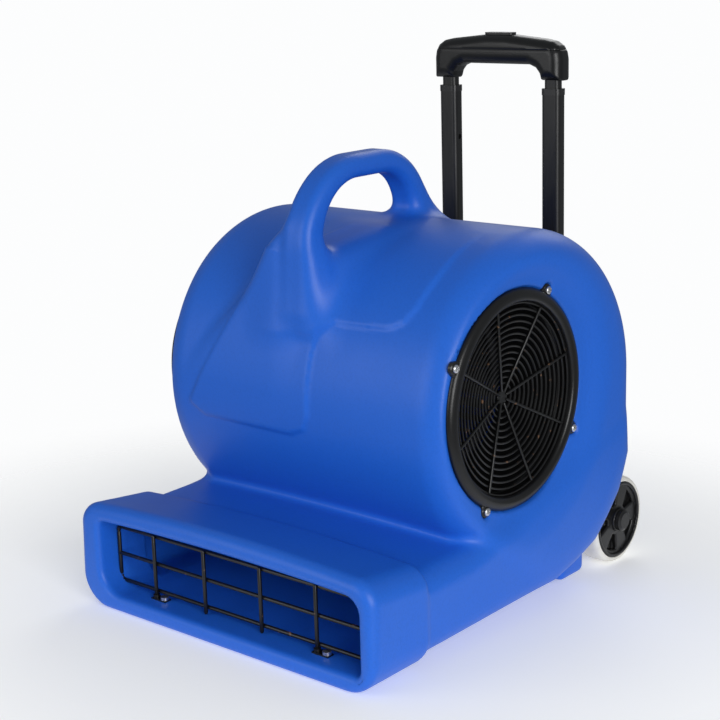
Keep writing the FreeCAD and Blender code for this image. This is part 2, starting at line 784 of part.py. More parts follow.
def mirrored_ring_for_motor(ring):
    """The left inlet ring, drilled for the screws that hold the motor's arms."""
    return cut(mirrored(ring), *spider_screw_set("2", 80, "25"))


def fan_wheel():
    """A double inlet wheel: a web in the middle, blades across it and a ring at each end."""
    body = new_body("FanWheel")
    web = sketch_on(body, "YZ_Plane")
    add_circle(web, "0", "0", "dims.wheel_outer_radius - 1")
    add_circle(web, "0", "0", "dims.fan_hub_radius - 8")
    pad(body, web, "dims.web_thickness", midplane=True)
    rim = sketch_on(body, "YZ_Plane", "dims.fan_half_width - dims.end_ring_thickness")
    add_circle(rim, "0", "0", "dims.wheel_outer_radius")
    add_circle(rim, "0", "0", "dims.wheel_outer_radius - dims.blade_depth")
    blade = sketch_on(body, "YZ_Plane")
    inner = "dims.wheel_outer_radius - dims.blade_depth + 0.6"
    outer = "dims.wheel_outer_radius - 0.6"
    add_polygon(blade, [
        (inner, "0"),
        ("%s - dims.blade_depth * 0.45" % outer, "3"),
        (outer, "10"),
        ("%s - 0.4" % outer, "10 + dims.blade_thickness"),
        ("%s - dims.blade_depth * 0.5" % outer, "3 + dims.blade_thickness"),
        (inner, "dims.blade_thickness"),
    ])
    single = pad(body, blade, "2 * dims.fan_half_width - dims.end_ring_thickness", midplane=True)
    pattern = body.newObject("PartDesign::PolarPattern", "Blades")
    pattern.Originals = [single]
    pattern.Axis = (blade, ["N_Axis"])
    pattern.Angle = 360
    pattern.setExpression("Occurrences", "dims.blade_count")
    body.Tip = pattern
    doc.recompute()
    pad(body, rim, "dims.end_ring_thickness")
    far_rim = sketch_on(body, "YZ_Plane", "-dims.fan_half_width")
    add_circle(far_rim, "0", "0", "dims.wheel_outer_radius")
    add_circle(far_rim, "0", "0", "dims.wheel_outer_radius - dims.blade_depth")
    pad(body, far_rim, "dims.end_ring_thickness")
    body.Placement = Placement(Vector(0, dim("fan_y"), dim("fan_z")), Rotation())
    return body


def fan_hub():
    web = "dims.web_thickness / 2"
    outline = [
        ("-14", "dims.shaft_radius"),
        ("-14", "dims.fan_hub_radius - 8"),
        (web, "dims.fan_hub_radius - 8"),
        (web, "dims.fan_hub_radius"),
        ("%s + 3" % web, "dims.fan_hub_radius"),
        ("%s + 3" % web, "dims.fan_hub_radius - 6"),
        ("dims.fan_hub_length - 14", "dims.fan_hub_radius - 8"),
        ("dims.fan_hub_length - 14", "dims.shaft_radius"),
    ]
    hub = turned_part("FanHub", outline, (0, dim("fan_y"), dim("fan_z")))
    return cut(hub, set_screw())


def set_screw():
    """The grub screw that locks the fan's hub on the shaft."""
    return cylinder("2.5", "10", (10, dim("fan_y"), dim("fan_z") + dim("shaft_radius")))


def disc(radius_out, radius_in, start, end):
    """A flat ring round the fan's axis, between two places along it."""
    outline = [(start, radius_in), (start, radius_out), (end, radius_out), (end, radius_in)]
    return turned_part("Disc", outline, (0, dim("fan_y"), dim("fan_z")))


def bolt_holes(radius, start, length):
    return [cylinder(radius, length, around_fan(dim("through_bolt_circle"), 45 + 90 * index, start), "X")
            for index in range(4)]


def end_bell(outer_face, inner_face, bearing_end):
    """A cast end cover, bored for a bearing from the inside and for the shaft right through."""
    plate = disc("dims.motor_radius", "dims.shaft_radius + 2", outer_face, inner_face)
    start = length_of(inner_face)
    low = min(start, start + bearing_end)
    seat = cylinder("dims.bearing_radius", "dims.bearing_width", (low, dim("fan_y"), dim("fan_z")), "X")
    first = min(length_of(outer_face), start) - 1
    return cut(plate, seat, *bolt_holes("dims.through_bolt", first, "dims.bell_thickness + 2"))


def make_motor():
    rear, front, thick = "dims.motor_rear", "dims.motor_front", "dims.bell_thickness"
    width = dim("bearing_width")
    inner_rear, inner_front = "%s + %s" % (rear, thick), "%s - %s" % (front, thick)
    finish(disc("dims.motor_radius", "dims.motor_radius - dims.motor_case_wall", inner_rear, inner_front),
           "motor_case")
    finish(end_bell(rear, inner_rear, -width), "motor_rear_bell")
    finish(end_bell(front, inner_front, width), "motor_front_bell")
    bore = "dims.shaft_radius + dims.running_gap"
    race = "dims.bearing_radius"
    finish(disc(race, bore, "%s - dims.bearing_width" % inner_rear, inner_rear), "rear_bearing")
    finish(disc(race, bore, inner_front, "%s + dims.bearing_width" % inner_front), "front_bearing")
    middle = (dim("motor_rear") + dim("motor_front")) / 2
    half = "dims.stator_length / 2"
    low, high = "%g - %s" % (middle, half), "%g + %s" % (middle, half)
    stack = disc("dims.motor_radius - dims.motor_case_wall", "dims.stator_bore", low, high)
    finish(cut(stack, *bolt_holes("dims.through_bolt", middle - 30, "60")), "motor_stator")
    reach = dim("stator_length") / 2 + 7.7
    coils = [torus("44.5", "7.4", (middle + side * reach, dim("fan_y"), dim("fan_z")), "X")
             for side in (1, -1)]
    finish(group(*coils), "motor_windings")
    finish(disc("dims.stator_bore - dims.rotor_gap", "dims.shaft_radius", low, high), "motor_rotor")
    finish(cylinder("dims.shaft_radius", "dims.shaft_end - dims.shaft_start",
                    (dim("shaft_start"), dim("fan_y"), dim("fan_z")), "X"), "motor_shaft")
    finish(motor_spider(), "motor_spider")
    finish(group(*through_bolts()), "motor_bolts")
    finish(group(*spider_screws()), "spider_screws")


def through_bolts():
    start = dim("motor_rear") - dim("spider_thickness")
    length = "dims.motor_front - dims.motor_rear + dims.spider_thickness"
    bolts = []
    for rod, head, nut in zip(
            bolt_holes("dims.through_bolt", start, length),
            bolt_holes("3.8", start - 3, "3"),
            bolt_holes("3.8", dim("motor_front"), "3")):
        bolts.append(fuse(rod, head, nut))
    return bolts


def motor_spider():
    """A steel plate on the motor's rear end with four arms out to the bellmouth."""
    thick = dim("spider_thickness")
    start = dim("motor_rear") - thick
    plate = disc("dims.motor_radius", "dims.bearing_radius", "dims.motor_rear - dims.spider_thickness",
                 "dims.motor_rear")
    arms = []
    for index in range(4):
        angle = 45 + 90 * index
        for corner_x, depth, low, reach in ((start, thick, 50, 39.8), (start - 6, 6 + thick, 84, 5.8)):
            arm = box("%g" % depth, "dims.spider_arm_width", "%g" % reach, (0, 0, 0))
            turn = Rotation(Vector(1, 0, 0), angle - 90)
            centre = Placement(Vector(*around_fan(0, 0, corner_x)), turn)
            corner = Vector(0, -dim("spider_arm_width") / 2, low)
            arm.Placement = centre.multiply(Placement(corner, Rotation()))
            arms.append(arm)
    holes = bolt_holes("dims.through_bolt", start - 1, "dims.spider_thickness + 2")
    return cut(fuse(plate, *arms), *holes, *spider_screw_set("2", 80, "25"))


def spider_screws():
    shanks = spider_screw_set("2", 83, "14")
    heads = spider_screw_set("3", 82, "2")
    return [fuse(shank, head) for shank, head in zip(shanks, heads)]


# ---------------------------------------------------------------- outlet grille


def make_grille():
    """Three wires across with upright wires welded to their front."""
    wire, half, front = "dims.grille_wire", dim("grille_half_width"), upright_wire_y()
    length = "2 * (dims.grille_half_width + dims.grille_wire_end)"
    start = -half - dim("grille_wire_end")
    wires = [cylinder(wire, length, (start, dim("grille_y"), dim(level)), "X")
             for level in ("grille_low", "grille_mid", "grille_high")]
    ends = "dims.grille_high - dims.grille_low"
    for x in (-half, half):
        wires.append(cylinder(wire, ends, (x, front, dim("grille_low"))))
    low = dim("mouth_bottom") + 0.2
    for x in grille_bars():
        wires.append(cylinder(wire, "%s + %g" % (ends, dim("grille_low") - low), (x, front, low)))
    finish(fuse(*wires), "outlet_grille")
    finish(group(*[grille_clip(x) for x in bolt_places()]), "grille_clips")
    finish(group(*[grille_bolt(x) for x in bolt_places()]), "grille_bolts")
    finish(group(*[grille_nut(x) for x in bolt_places()]), "grille_nuts")


def upright_wire_y():
    return dim("grille_y") - dim("grille_lap")


def grille_bars():
    return [side * dim(bar) for bar in ("grille_outer_bar", "grille_inner_bar") for side in (-1, 1)]


def bolt_places():
    return [side * dim("grille_outer_bar") + 12 for side in (-1, 1)]


def grille_clip(x):
    """A small strap from the foot of a wire to its bolt."""
    y = upright_wire_y()
    strap = box("20", "9", "1.6", (x - 15.5, y - 4.5, dim("mouth_bottom")))
    loop = cylinder("dims.grille_wire + 1.4", "4.5", (x - 12, y, dim("mouth_bottom")))
    hole = cylinder("dims.grille_wire", "12", (x - 12, y, dim("mouth_bottom") - 1))
    return cut(fuse(strap, loop), hole, grille_bolt(x))


def grille_bolt(x):
    y = upright_wire_y()
    shank = cylinder("2.5", "dims.mouth_bottom", (x, y, 1.6))
    head = cylinder("4.5", "3", (x, y, dim("mouth_bottom") + 1.6))
    return fuse(shank, head)


def grille_nut(x):
    y = upright_wire_y()
    return cut(cylinder("4.6", "4", (x, y, 2)), cylinder("2.5", "6", (x, y, 1)))


def grille_fixings():
    """What the bolts and their nuts take out of the collar's lower lip."""
    tools = []
    y = upright_wire_y()
    low = dim("collar_bottom") - 3
    for x in bolt_places():
        tools.append(cylinder("2.5", "30", (x, y, low)))
        tools.append(cylinder("4.6", "%g" % (6 - low), (x, y, low)))
    return tools


# ---------------------------------------------------------------- control panel


SWITCH_AT = (-14, -6)
LAMP_AT = (28, -16)
GLAND_AT = (28, 15)


def panel_cylinder(radius, length, place, low):
    return on_panel(cylinder(radius, length, (place[0], place[1], low)))


def panel_screw_places():
    half_x, half_y = dim("panel_width") / 2 - 6, dim("panel_height") / 2 - 6
    return [(x, y) for x in (-half_x, half_x) for y in (-half_y, half_y)]


def panel_cut_outs():
    """The holes that the switch, lamp, gland and screws need through plate and shell."""
    tools = [panel_cylinder("5.5", "30", SWITCH_AT, -15),
             panel_cylinder("dims.lamp_radius", "30", LAMP_AT, -15),
             panel_cylinder("dims.gland_radius", "30", GLAND_AT, -15)]
    tools += [panel_cylinder("1.8", "8", place, -4) for place in panel_screw_places()]
    return tools


def make_controls():
    width, height = dim("panel_width"), dim("panel_height")
    plate = on_panel(box("dims.panel_width", "dims.panel_height", "dims.panel_thickness",
                         (-width / 2, -height / 2, 0)))
    finish(cut(plate, *panel_cut_outs()), "control_plate")
    wall, thick = dim("shell_wall"), dim("panel_thickness")
    case = on_panel(box("34", "34", "26", (SWITCH_AT[0] - 17, SWITCH_AT[1] - 17, -wall - 26)))
    neck = panel_cylinder("5.5", "dims.shell_wall + dims.panel_thickness", SWITCH_AT, -wall)
    bore = panel_cylinder("dims.switch_spindle + dims.running_gap", "30", SWITCH_AT, -wall - 12)
    finish(cut(fuse(case, neck), bore), "speed_switch")
    grip = panel_cylinder("dims.knob_radius", "dims.knob_height - 8", SWITCH_AT, thick + 0.6)
    ridge = on_panel(box("9", "2 * dims.knob_radius - 3", "dims.knob_height",
                         (SWITCH_AT[0] - 4.5, SWITCH_AT[1] - dim("knob_radius") + 1.5, thick + 0.6)))
    spindle = panel_cylinder("dims.switch_spindle", "dims.shell_wall + dims.panel_thickness + 12.5",
                             SWITCH_AT, -wall - 11)
    finish(fuse(grip, ridge, spindle), "speed_knob")
    stem = panel_cylinder("dims.lamp_radius", "dims.shell_wall + dims.panel_thickness + 4",
                          LAMP_AT, -wall - 4)
    dome = panel_cylinder("dims.lamp_radius + 1.5", "3.5", LAMP_AT, thick)
    finish(fuse(stem, dome), "power_lamp")
    finish(cord_gland(), "cord_gland")
    screws = [fuse(panel_cylinder("1.8", "4 + dims.panel_thickness", place, -4),
                   panel_cylinder("3.4", "2", place, thick)) for place in panel_screw_places()]
    finish(group(*screws), "panel_screws")
    can = on_panel(cylinder("dims.capacitor_radius", "dims.capacitor_length", (58, 0, -28), "X"))
    finish(can, "run_capacitor")
    strap = on_panel(cylinder("dims.capacitor_radius + 1.5", "12", (88, 0, -28), "X"))
    foot = on_panel(box("12", "22", "6", (88, -11, -8)))
    hole = on_panel(cylinder("dims.capacitor_radius", "40", (74, 0, -28), "X"))
    finish(cut(fuse(strap, foot), hole), "capacitor_clamp")


def cord_gland():
    """A round cable entry with a blind bore where a cord would leave."""
    wall, thick = dim("shell_wall"), dim("panel_thickness")
    stem = panel_cylinder("dims.gland_radius", "dims.shell_wall + dims.panel_thickness + 6",
                          GLAND_AT, -wall - 6)
    flange = panel_cylinder("dims.gland_radius + 3", "5", GLAND_AT, thick)
    nose = on_panel(cone("dims.gland_radius + 1", "dims.gland_radius - 2", "14",
                         (GLAND_AT[0], GLAND_AT[1], thick + 5)))
    bore = panel_cylinder("4", "30", GLAND_AT, thick + 6)
    return cut(fuse(stem, flange, nose), bore)


# ---------------------------------------------------------------- telescopic trolley handle


def tube_section(sketch, width, depth, corner):
    add_rounded_rectangle(sketch, "0", "dims.trolley_y", width, depth, corner)


def bar(width, depth, corner, low, high):
    """An upright bar of rounded rectangular section, on the middle plane."""
    body = new_body("Bar")
    sketch = sketch_on(body, "XY_Plane", low)
    tube_section(sketch, width, depth, corner)
    pad(body, sketch, "(%s) - (%s)" % (high, low))
    return body


def tube(width, depth, low, high):
    body = new_body("Tube")
    sketch = sketch_on(body, "XY_Plane", low)
    wall = "2 * dims.tube_wall"
    tube_section(sketch, width, depth, "dims.tube_corner")
    tube_section(sketch, "%s - %s" % (width, wall), "%s - %s" % (depth, wall),
                 "dims.tube_corner - dims.tube_wall")
    pad(body, sketch, "(%s) - (%s)" % (high, low))
    return body


def pair(source, label):
    """One piece for each side of the handle, from a piece drawn on the middle plane."""
    spread = dim("trolley_spacing")
    for side, name in ((-1, "left"), (1, "right")):
        finish(moved(source, (side * spread, 0, 0)), "%s_%s" % (label, name))


def twins(source):
    """The same piece on both sides of the handle, as one group."""
    spread = dim("trolley_spacing")
    return group(*[moved(source, (side * spread, 0, 0)) for side in (-1, 1)])


def stage_section(stage):
    return "dims.%s_tube_width" % stage, "dims.%s_tube_depth" % stage


def grown(section, extra):
    return tuple("%s + %s" % (size, extra) for size in section)


def make_tubes():
    for stage in ("outer", "inner"):
        width, depth = stage_section(stage)
        pair(tube(width, depth, "dims.%s_tube_bottom" % stage, "dims.%s_tube_top" % stage), stage + "_tube")
    width, depth = stage_section("middle")
    plain = tube(width, depth, "dims.middle_tube_bottom", "dims.middle_tube_top")
    for side, name in ((-1, "left"), (1, "right")):
        start = 4 if side < 0 else -24
        hole = cylinder("3", "20", (start, dim("trolley_y"), dim("middle_tube_top") - 55), "X")
        spread = (side * dim("trolley_spacing"), 0, 0)
        finish(moved(cut(plain, hole), spread), "middle_tube_" + name)


def end_collar(outer, inner):
    """A plastic bush capping one tube and guiding the next one."""
    top, lip = "dims.%s_tube_top" % outer, "dims.%s_cap_lip" % outer
    section = stage_section(outer)
    shell = bar(*grown(section, "2 * %s" % lip), "dims.tube_corner + %s" % lip,
                "%s - dims.cap_below" % top, "%s + dims.cap_above" % top)
    socket = bar(*section, "dims.tube_corner", "%s - dims.cap_below - 1" % top, top)
    passage = bar(*grown(stage_section(inner), "2 * dims.slide_gap"), "dims.tube_corner", "%s - 1" % top,
                  "%s + dims.cap_above + 1" % top)
    return cut(shell, socket, passage)


def bracket_block(size_x, front, back, low, high):
    return box("%g" % size_x, "%g" % (back - front), "%g" % (high - low), (-size_x / 2, front, low))


def make_brackets():
    tube_space = bar(*stage_section("outer"), "dims.tube_corner", "10", "340")
    drum = scroll_drum("0")
    back = dim("trolley_y") + dim("outer_tube_depth") / 2 + 3.5
    arm = fuse(bracket_block(26, 425, 478, 262, 292), bracket_block(36, 466, back, 266, 288))
    arms = [cut(moved(arm, (side * dim("trolley_spacing"), 0, 0)), drum,
                moved(tube_space, (side * dim("trolley_spacing"), 0, 0))) for side in (-1, 1)]
    finish(group(*arms), "upper_brackets")
    rear = dim("upper_scroll_y") + dim("upper_scroll_radius")
    plate = bracket_block(190, rear, rear + 9, 166, 204)
    clamps = [moved(bracket_block(36, rear, back, 168, 202), (side * dim("trolley_spacing"), 0, 0))
              for side in (-1, 1)]
    spaces = [moved(tube_space, (side * dim("trolley_spacing"), 0, 0)) for side in (-1, 1)]
    holes = bracket_screw_shanks()
    finish(cut(fuse(plate, *clamps), *spaces, *holes), "lower_bracket")
    heads = [cylinder("5.5", "3.2", (x, rear + 9, z), "Y") for x, z in bracket_screw_places()]
    screws = [fuse(shank, head) for shank, head in zip(bracket_screw_shanks(), heads)]
    finish(group(*screws), "bracket_screws")


def bracket_screw_places():
    return [(x, z) for x in (-34, 34) for z in (176, 194)]


def bracket_screw_shanks():
    rear = dim("upper_scroll_y") + dim("upper_scroll_radius")
    return [cylinder("3", "13", (x, rear - 4, z), "Y") for x, z in bracket_screw_places()]


def grip_outline(body, points, half_depth):
    sketch = sketch_on(body, "XZ_Plane", "-dims.trolley_y - (%s)" % half_depth)
    add_polygon(sketch, points)
    return sketch


def round_grip_ends(body):
    """Round the upright edges at both ends of a grip half."""
    half = dim("grip_half_width")
    round_edges(body, "dims.grip_round",
                lambda edge: abs(abs(edge.CenterOfMass.x) - half) < 0.01
                and len(edge.Vertexes) == 2
                and abs(edge.Vertexes[0].X - edge.Vertexes[1].X) < 0.01
                and abs(edge.Vertexes[0].Y - edge.Vertexes[1].Y) < 0.01)


def make_grip():
    """A two-part plastic grip: the lower half holds the tubes, the upper half the button."""
    half, under, seam = "dims.grip_half_width", "dims.grip_underside", "dims.grip_seam"
    low, top = "dims.grip_end_bottom", "dims.grip_top"
    lower = new_body("GripLower")
    points = [(seam_x, seam) for seam_x in (half, "-" + half)]
    points += [("-%s" % half, "%s + 4" % low), ("-%s + 4" % half, low), ("-54", low), ("-52", "%s + 8" % low),
               ("-44", under), ("44", under), ("52", "%s + 8" % low), ("54", low), ("%s - 4" % half, low),
               (half, "%s + 4" % low)]
    pad(lower, grip_outline(lower, points, "dims.grip_depth / 2"), "dims.grip_depth")
    round_grip_ends(lower)
    sockets = [moved(bar(*stage_section("inner"), "dims.tube_corner", "500", "dims.inner_tube_top"),
                     (side * dim("trolley_spacing"), 0, 0)) for side in (-1, 1)]
    finish(cut(lower, *sockets), "grip_lower")
    upper = new_body("GripUpper")
    points = [(half, seam), (half, "%s + 5" % seam), ("%s - 9" % half, "%s - 4" % top), ("40", top),
              ("-40", top), ("-%s + 9" % half, "%s - 4" % top), ("-" + half, "%s + 5" % seam),
              ("-" + half, seam)]
    pad(upper, grip_outline(upper, points, "dims.grip_depth / 2"), "dims.grip_depth")
    round_grip_ends(upper)
    well = button_bar("0.3", "%s - 13" % top, "%s + 1" % top)
    finish(cut(upper, well, *sockets), "grip_upper")
    finish(button_bar("0", "%s - 8" % top, "%s + 2" % top), "grip_button")
    finish(button_spring(), "button_spring")


def button_bar(gap, low, high):
    return bar("dims.button_length + 2 * %s" % gap, "dims.button_width + 2 * %s" % gap,
               "dims.button_width * 0.4", low, high)


def button_spring():
    """A light coil spring between the button and the bottom of its well."""
    wire, radius = 0.4, 3.5
    room = 5.0
    low = dim("grip_top") - 13 + wire
    helix = Part.makeHelix(1.4, room - 2 * wire, radius)
    section = Part.Wire([Part.makeCircle(wire, Vector(radius, 0, 0), Vector(0, 1, 0.06))])
    coil = Part.Wire(helix).makePipeShell([section], True, True)
    spring = doc.addObject("Part::Feature", "ButtonSpring")
    spring.Shape = coil
    spring.Placement = Placement(Vector(0, dim("trolley_y"), low), Rotation())
    return spring


# ---------------------------------------------------------------- wheels and feet


def make_axle():
    half = dim("axle_half_length")
    centre = (dim("axle_y"), dim("axle_z"))
    finish(cylinder("dims.axle_radius", "2 * dims.axle_half_length", (-half, *centre), "X"), "axle")
    spacers = [turned_part("Spacer", [
        (low, "dims.axle_radius"), (low, "10"), (high, "10"), (high, "dims.axle_radius")], (0, *centre))
        for low, high in (("130.5", "137.5"), ("-137.5", "-130.5"))]
    finish(group(*spacers), "wheel_spacers")
    cap = turned_part("Cap", [
        ("169", "dims.axle_radius"), ("169", "12"), ("173", "12"), ("175", "9"), ("175", "0"),
        ("dims.axle_half_length", "0"), ("dims.axle_half_length", "dims.axle_radius")], (0, *centre))
    finish(group(cap, mirrored(cap)), "axle_caps")
    tube_space = bar(*stage_section("outer"), "dims.tube_corner", "dims.outer_tube_bottom", "100")
    hole = cylinder("dims.axle_radius", "200", (-100, *centre), "X")
    block = bracket_block(34, dim("axle_y") - 12, dim("trolley_y") + 14, 14, 62)
    finish(twins(cut(block, tube_space, hole)), "axle_shoes")


def road_wheel_hub():
    """A moulded hub: rim, outer web with five pockets, and a boss that turns on the axle."""
    body = new_body("Hub")
    inner = "dims.road_wheel_inner_x"
    disc_sketch = sketch_on(body, "YZ_Plane", "%s + 1.5" % inner)
    add_circle(disc_sketch, "0", "0", "dims.tyre_inner_radius")
    add_circle(disc_sketch, "0", "0", "dims.hub_bore")
    pad(body, disc_sketch, "dims.tyre_width - 3")
    hollow = sketch_on(body, "YZ_Plane", "%s + 1.5" % inner)
    add_circle(hollow, "0", "0", "dims.tyre_inner_radius - 5")
    add_circle(hollow, "0", "0", "14")
    pocket(body, hollow, "dims.tyre_width - 12", backwards=True)
    window = sketch_on(body, "YZ_Plane", "%s + dims.tyre_width - 1.5" % inner)
    add_polygon(window, [("17", "-5"), ("34", "-13"), ("36.5", "0"), ("34", "13"), ("17", "5")])
    single = pocket(body, window, "5")
    pattern = body.newObject("PartDesign::PolarPattern", "Pockets")
    pattern.Originals = [single]
    pattern.Axis = (window, ["N_Axis"])
    pattern.Angle = 360
    pattern.Occurrences = 5
    body.Tip = pattern
    doc.recompute()
    boss = sketch_on(body, "YZ_Plane", "%s + dims.tyre_width - 1.5" % inner)
    add_circle(boss, "0", "0", "13")
    add_circle(boss, "0", "0", "dims.hub_bore")
    pad(body, boss, "1.7")
    body.Placement = Placement(Vector(0, dim("axle_y"), dim("axle_z")), Rotation())
    return body


def road_wheel_tyre():
    inner, outer = "dims.road_wheel_inner_x", "dims.road_wheel_inner_x + dims.tyre_width"
    seat, tread = "dims.tyre_inner_radius", "dims.tyre_radius"
    return turned_part("Tyre", [
        (inner, seat), (inner, "%s - 3.5" % tread), ("%s + 1.2" % inner, "%s - 1.2" % tread),
        ("%s + 4" % inner, tread), ("%s - 4" % outer, tread), ("%s - 1.2" % outer, "%s - 1.2" % tread),
        (outer, "%s - 3.5" % tread), (outer, seat)], (0, dim("axle_y"), dim("axle_z")))


def make_wheels():
    both_sides(road_wheel_tyre(), "tyre")
    both_sides(road_wheel_hub(), "wheel_hub")


def make_feet():
    for side, name in ((-1, "left"), (1, "right")):
        foot = front_foot(side)
        foot.Label = "front_foot_" + name
        sub_parts.append(foot)


# ---------------------------------------------------------------- the whole machine


make_housing()
make_inlets()
finish(fan_wheel(), "fan_wheel")
finish(fan_hub(), "fan_hub")
finish(set_screw(), "hub_set_screw")
make_motor()
make_grille()
make_controls()
make_tubes()
finish(twins(end_collar("outer", "middle")), "outer_collars")
finish(twins(end_collar("middle", "inner")), "middle_collars")
make_brackets()
make_grip()
make_axle()
make_wheels()
make_feet()
doc.recompute()

for obj in doc.Objects:
    if "Invalid" in obj.State or "Error" in obj.State:
        raise ValueError("%s failed: %s" % (obj.Label, obj.State))
for obj in sub_parts:
    if obj.Shape.isNull() or not obj.Shape.isValid():
        raise ValueError("%s has no valid shape" % obj.Label)

os.makedirs("parts", exist_ok=True)
for obj in sub_parts:
    obj.Shape.exportStep("parts/%s.step" % obj.Label)
print("%d sub-parts written" % len(sub_parts))
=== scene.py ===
"""The looks of a carpet air mover: its moulded blue shell, its black fittings and a plain studio."""

import json
import math

import bmesh
import bpy
import numpy as np
from mathutils import Matrix, Vector


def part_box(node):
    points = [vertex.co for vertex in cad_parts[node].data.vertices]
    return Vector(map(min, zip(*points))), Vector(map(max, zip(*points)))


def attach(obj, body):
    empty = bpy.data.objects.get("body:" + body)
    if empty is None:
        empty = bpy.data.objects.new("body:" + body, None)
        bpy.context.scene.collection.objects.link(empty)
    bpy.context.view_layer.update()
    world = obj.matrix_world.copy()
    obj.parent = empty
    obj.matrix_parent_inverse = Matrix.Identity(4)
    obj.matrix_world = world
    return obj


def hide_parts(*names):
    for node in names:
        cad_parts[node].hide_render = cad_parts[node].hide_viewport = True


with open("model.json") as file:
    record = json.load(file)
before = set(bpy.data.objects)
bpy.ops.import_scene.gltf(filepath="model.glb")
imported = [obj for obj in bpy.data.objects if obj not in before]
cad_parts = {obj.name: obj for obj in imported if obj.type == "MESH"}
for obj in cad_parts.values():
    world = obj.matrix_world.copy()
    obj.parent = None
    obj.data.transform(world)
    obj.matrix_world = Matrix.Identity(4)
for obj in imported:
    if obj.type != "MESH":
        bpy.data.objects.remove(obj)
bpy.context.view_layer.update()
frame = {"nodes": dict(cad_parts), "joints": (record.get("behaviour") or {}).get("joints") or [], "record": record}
nodes = frame["nodes"]
joints = {joint["name"]: joint for joint in frame["joints"]}

# The shell is drawn in the housing's own axes, in millimetres: x is the width with 0 in the
# middle, y runs back from the collar's front face and z runs up from the collar's bottom. The
# machine stands tipped forward a little, so those axes are turned and set down in the frame.
MM = 0.001
FAN_Y, FAN_Z = 244.0, 221.0
rise = joints["middle_stage_slide"]["axis"]
STANCE = math.atan2(-rise[1], rise[2])
fan_place = joints["fan_spin"]["pos_m"]
SETBACK = (FAN_Y * math.cos(STANCE) - FAN_Z * math.sin(STANCE)) * MM - fan_place[1]
LIFT = fan_place[2] - (FAN_Y * math.sin(STANCE) + FAN_Z * math.cos(STANCE)) * MM
to_frame = Matrix.Translation((0, -SETBACK, LIFT)) @ Matrix.Rotation(STANCE, 4, "X") @ Matrix.Scale(MM, 4)


# ---------------------------------------------------------------- camera, light and floor

CAMERA_PLACE = (1.05035, -1.28904, 0.60561 + LIFT)
CAMERA_AZIMUTH, CAMERA_PITCH = math.radians(40.1), math.radians(12.36)
CAMERA_LENS, CAMERA_SENSOR = 79.8, 36.0
CLIP_START, CLIP_END = 0.05, 60
PALE, COOL = (0.93, 0.935, 0.94, 1.0), (0.9, 0.95, 1.0, 1.0)
BACKDROP_STRENGTH, AMBIENT_STRENGTH = 1.05, 0.27
LIGHT_TARGET = (0, -0.02, 0.22)
LIGHTS = [  # name, place, width and height in metres, watts
    ("key", (2.1, -1.3, 0.75), (1.2, 1.5), 40),
    ("front", (-0.9, -2.3, 0.8), (1.6, 1.2), 15.5),
    ("rear", (-0.6, 1.9, 1.6), (1.6, 1.2), 12),
]
FLOOR_RADIUS, FLOOR_SIDES, FLOOR_ROUGHNESS, FLOOR_GLOW = 4.0, 96, 0.9, 0.3
FADE_START, FADE_END = 0.3, 0.8


def make_camera():
    data = bpy.data.cameras.new("camera")
    data.lens, data.sensor_width = CAMERA_LENS, CAMERA_SENSOR
    data.clip_start, data.clip_end = CLIP_START, CLIP_END
    camera = bpy.data.objects.new("camera", data)
    camera.location = CAMERA_PLACE
    camera.rotation_euler = (math.pi / 2 - CAMERA_PITCH, 0, CAMERA_AZIMUTH)
    bpy.context.scene.collection.objects.link(camera)
    bpy.context.scene.camera = camera


def area_light(name, place, size, watts):
    data = bpy.data.lights.new(name, "AREA")
    data.shape, data.size, data.size_y = "RECTANGLE", size[0], size[1]
    data.energy = watts
    light = bpy.data.objects.new(name, data)
    light.location = place
    light.rotation_euler = (Vector(LIGHT_TARGET) - Vector(place)).to_track_quat("-Z", "Y").to_euler()
    bpy.context.scene.collection.objects.link(light)


def make_studio():
    """Soft lights, with a pale world that the camera sees and a dimmer one that lights the object."""
    scene = bpy.context.scene
    scene.view_settings.view_transform = "Standard"
    world = bpy.data.worlds.new("studio")
    world.use_nodes = True
    scene.world = world
    tree = world.node_tree
    backdrop = tree.nodes["Background"]
    backdrop.inputs["Color"].default_value = PALE
    backdrop.inputs["Strength"].default_value = BACKDROP_STRENGTH
    ambient = tree.nodes.new("ShaderNodeBackground")
    ambient.inputs["Color"].default_value = COOL
    ambient.inputs["Strength"].default_value = AMBIENT_STRENGTH
    which = tree.nodes.new("ShaderNodeMixShader")
    path = tree.nodes.new("ShaderNodeLightPath")
    tree.links.new(path.outputs["Is Camera Ray"], which.inputs["Fac"])
    tree.links.new(ambient.outputs["Background"], which.inputs[1])
    tree.links.new(backdrop.outputs["Background"], which.inputs[2])
    tree.links.new(which.outputs["Shader"], tree.nodes["World Output"].inputs["Surface"])
    for light in LIGHTS:
        area_light(*light)


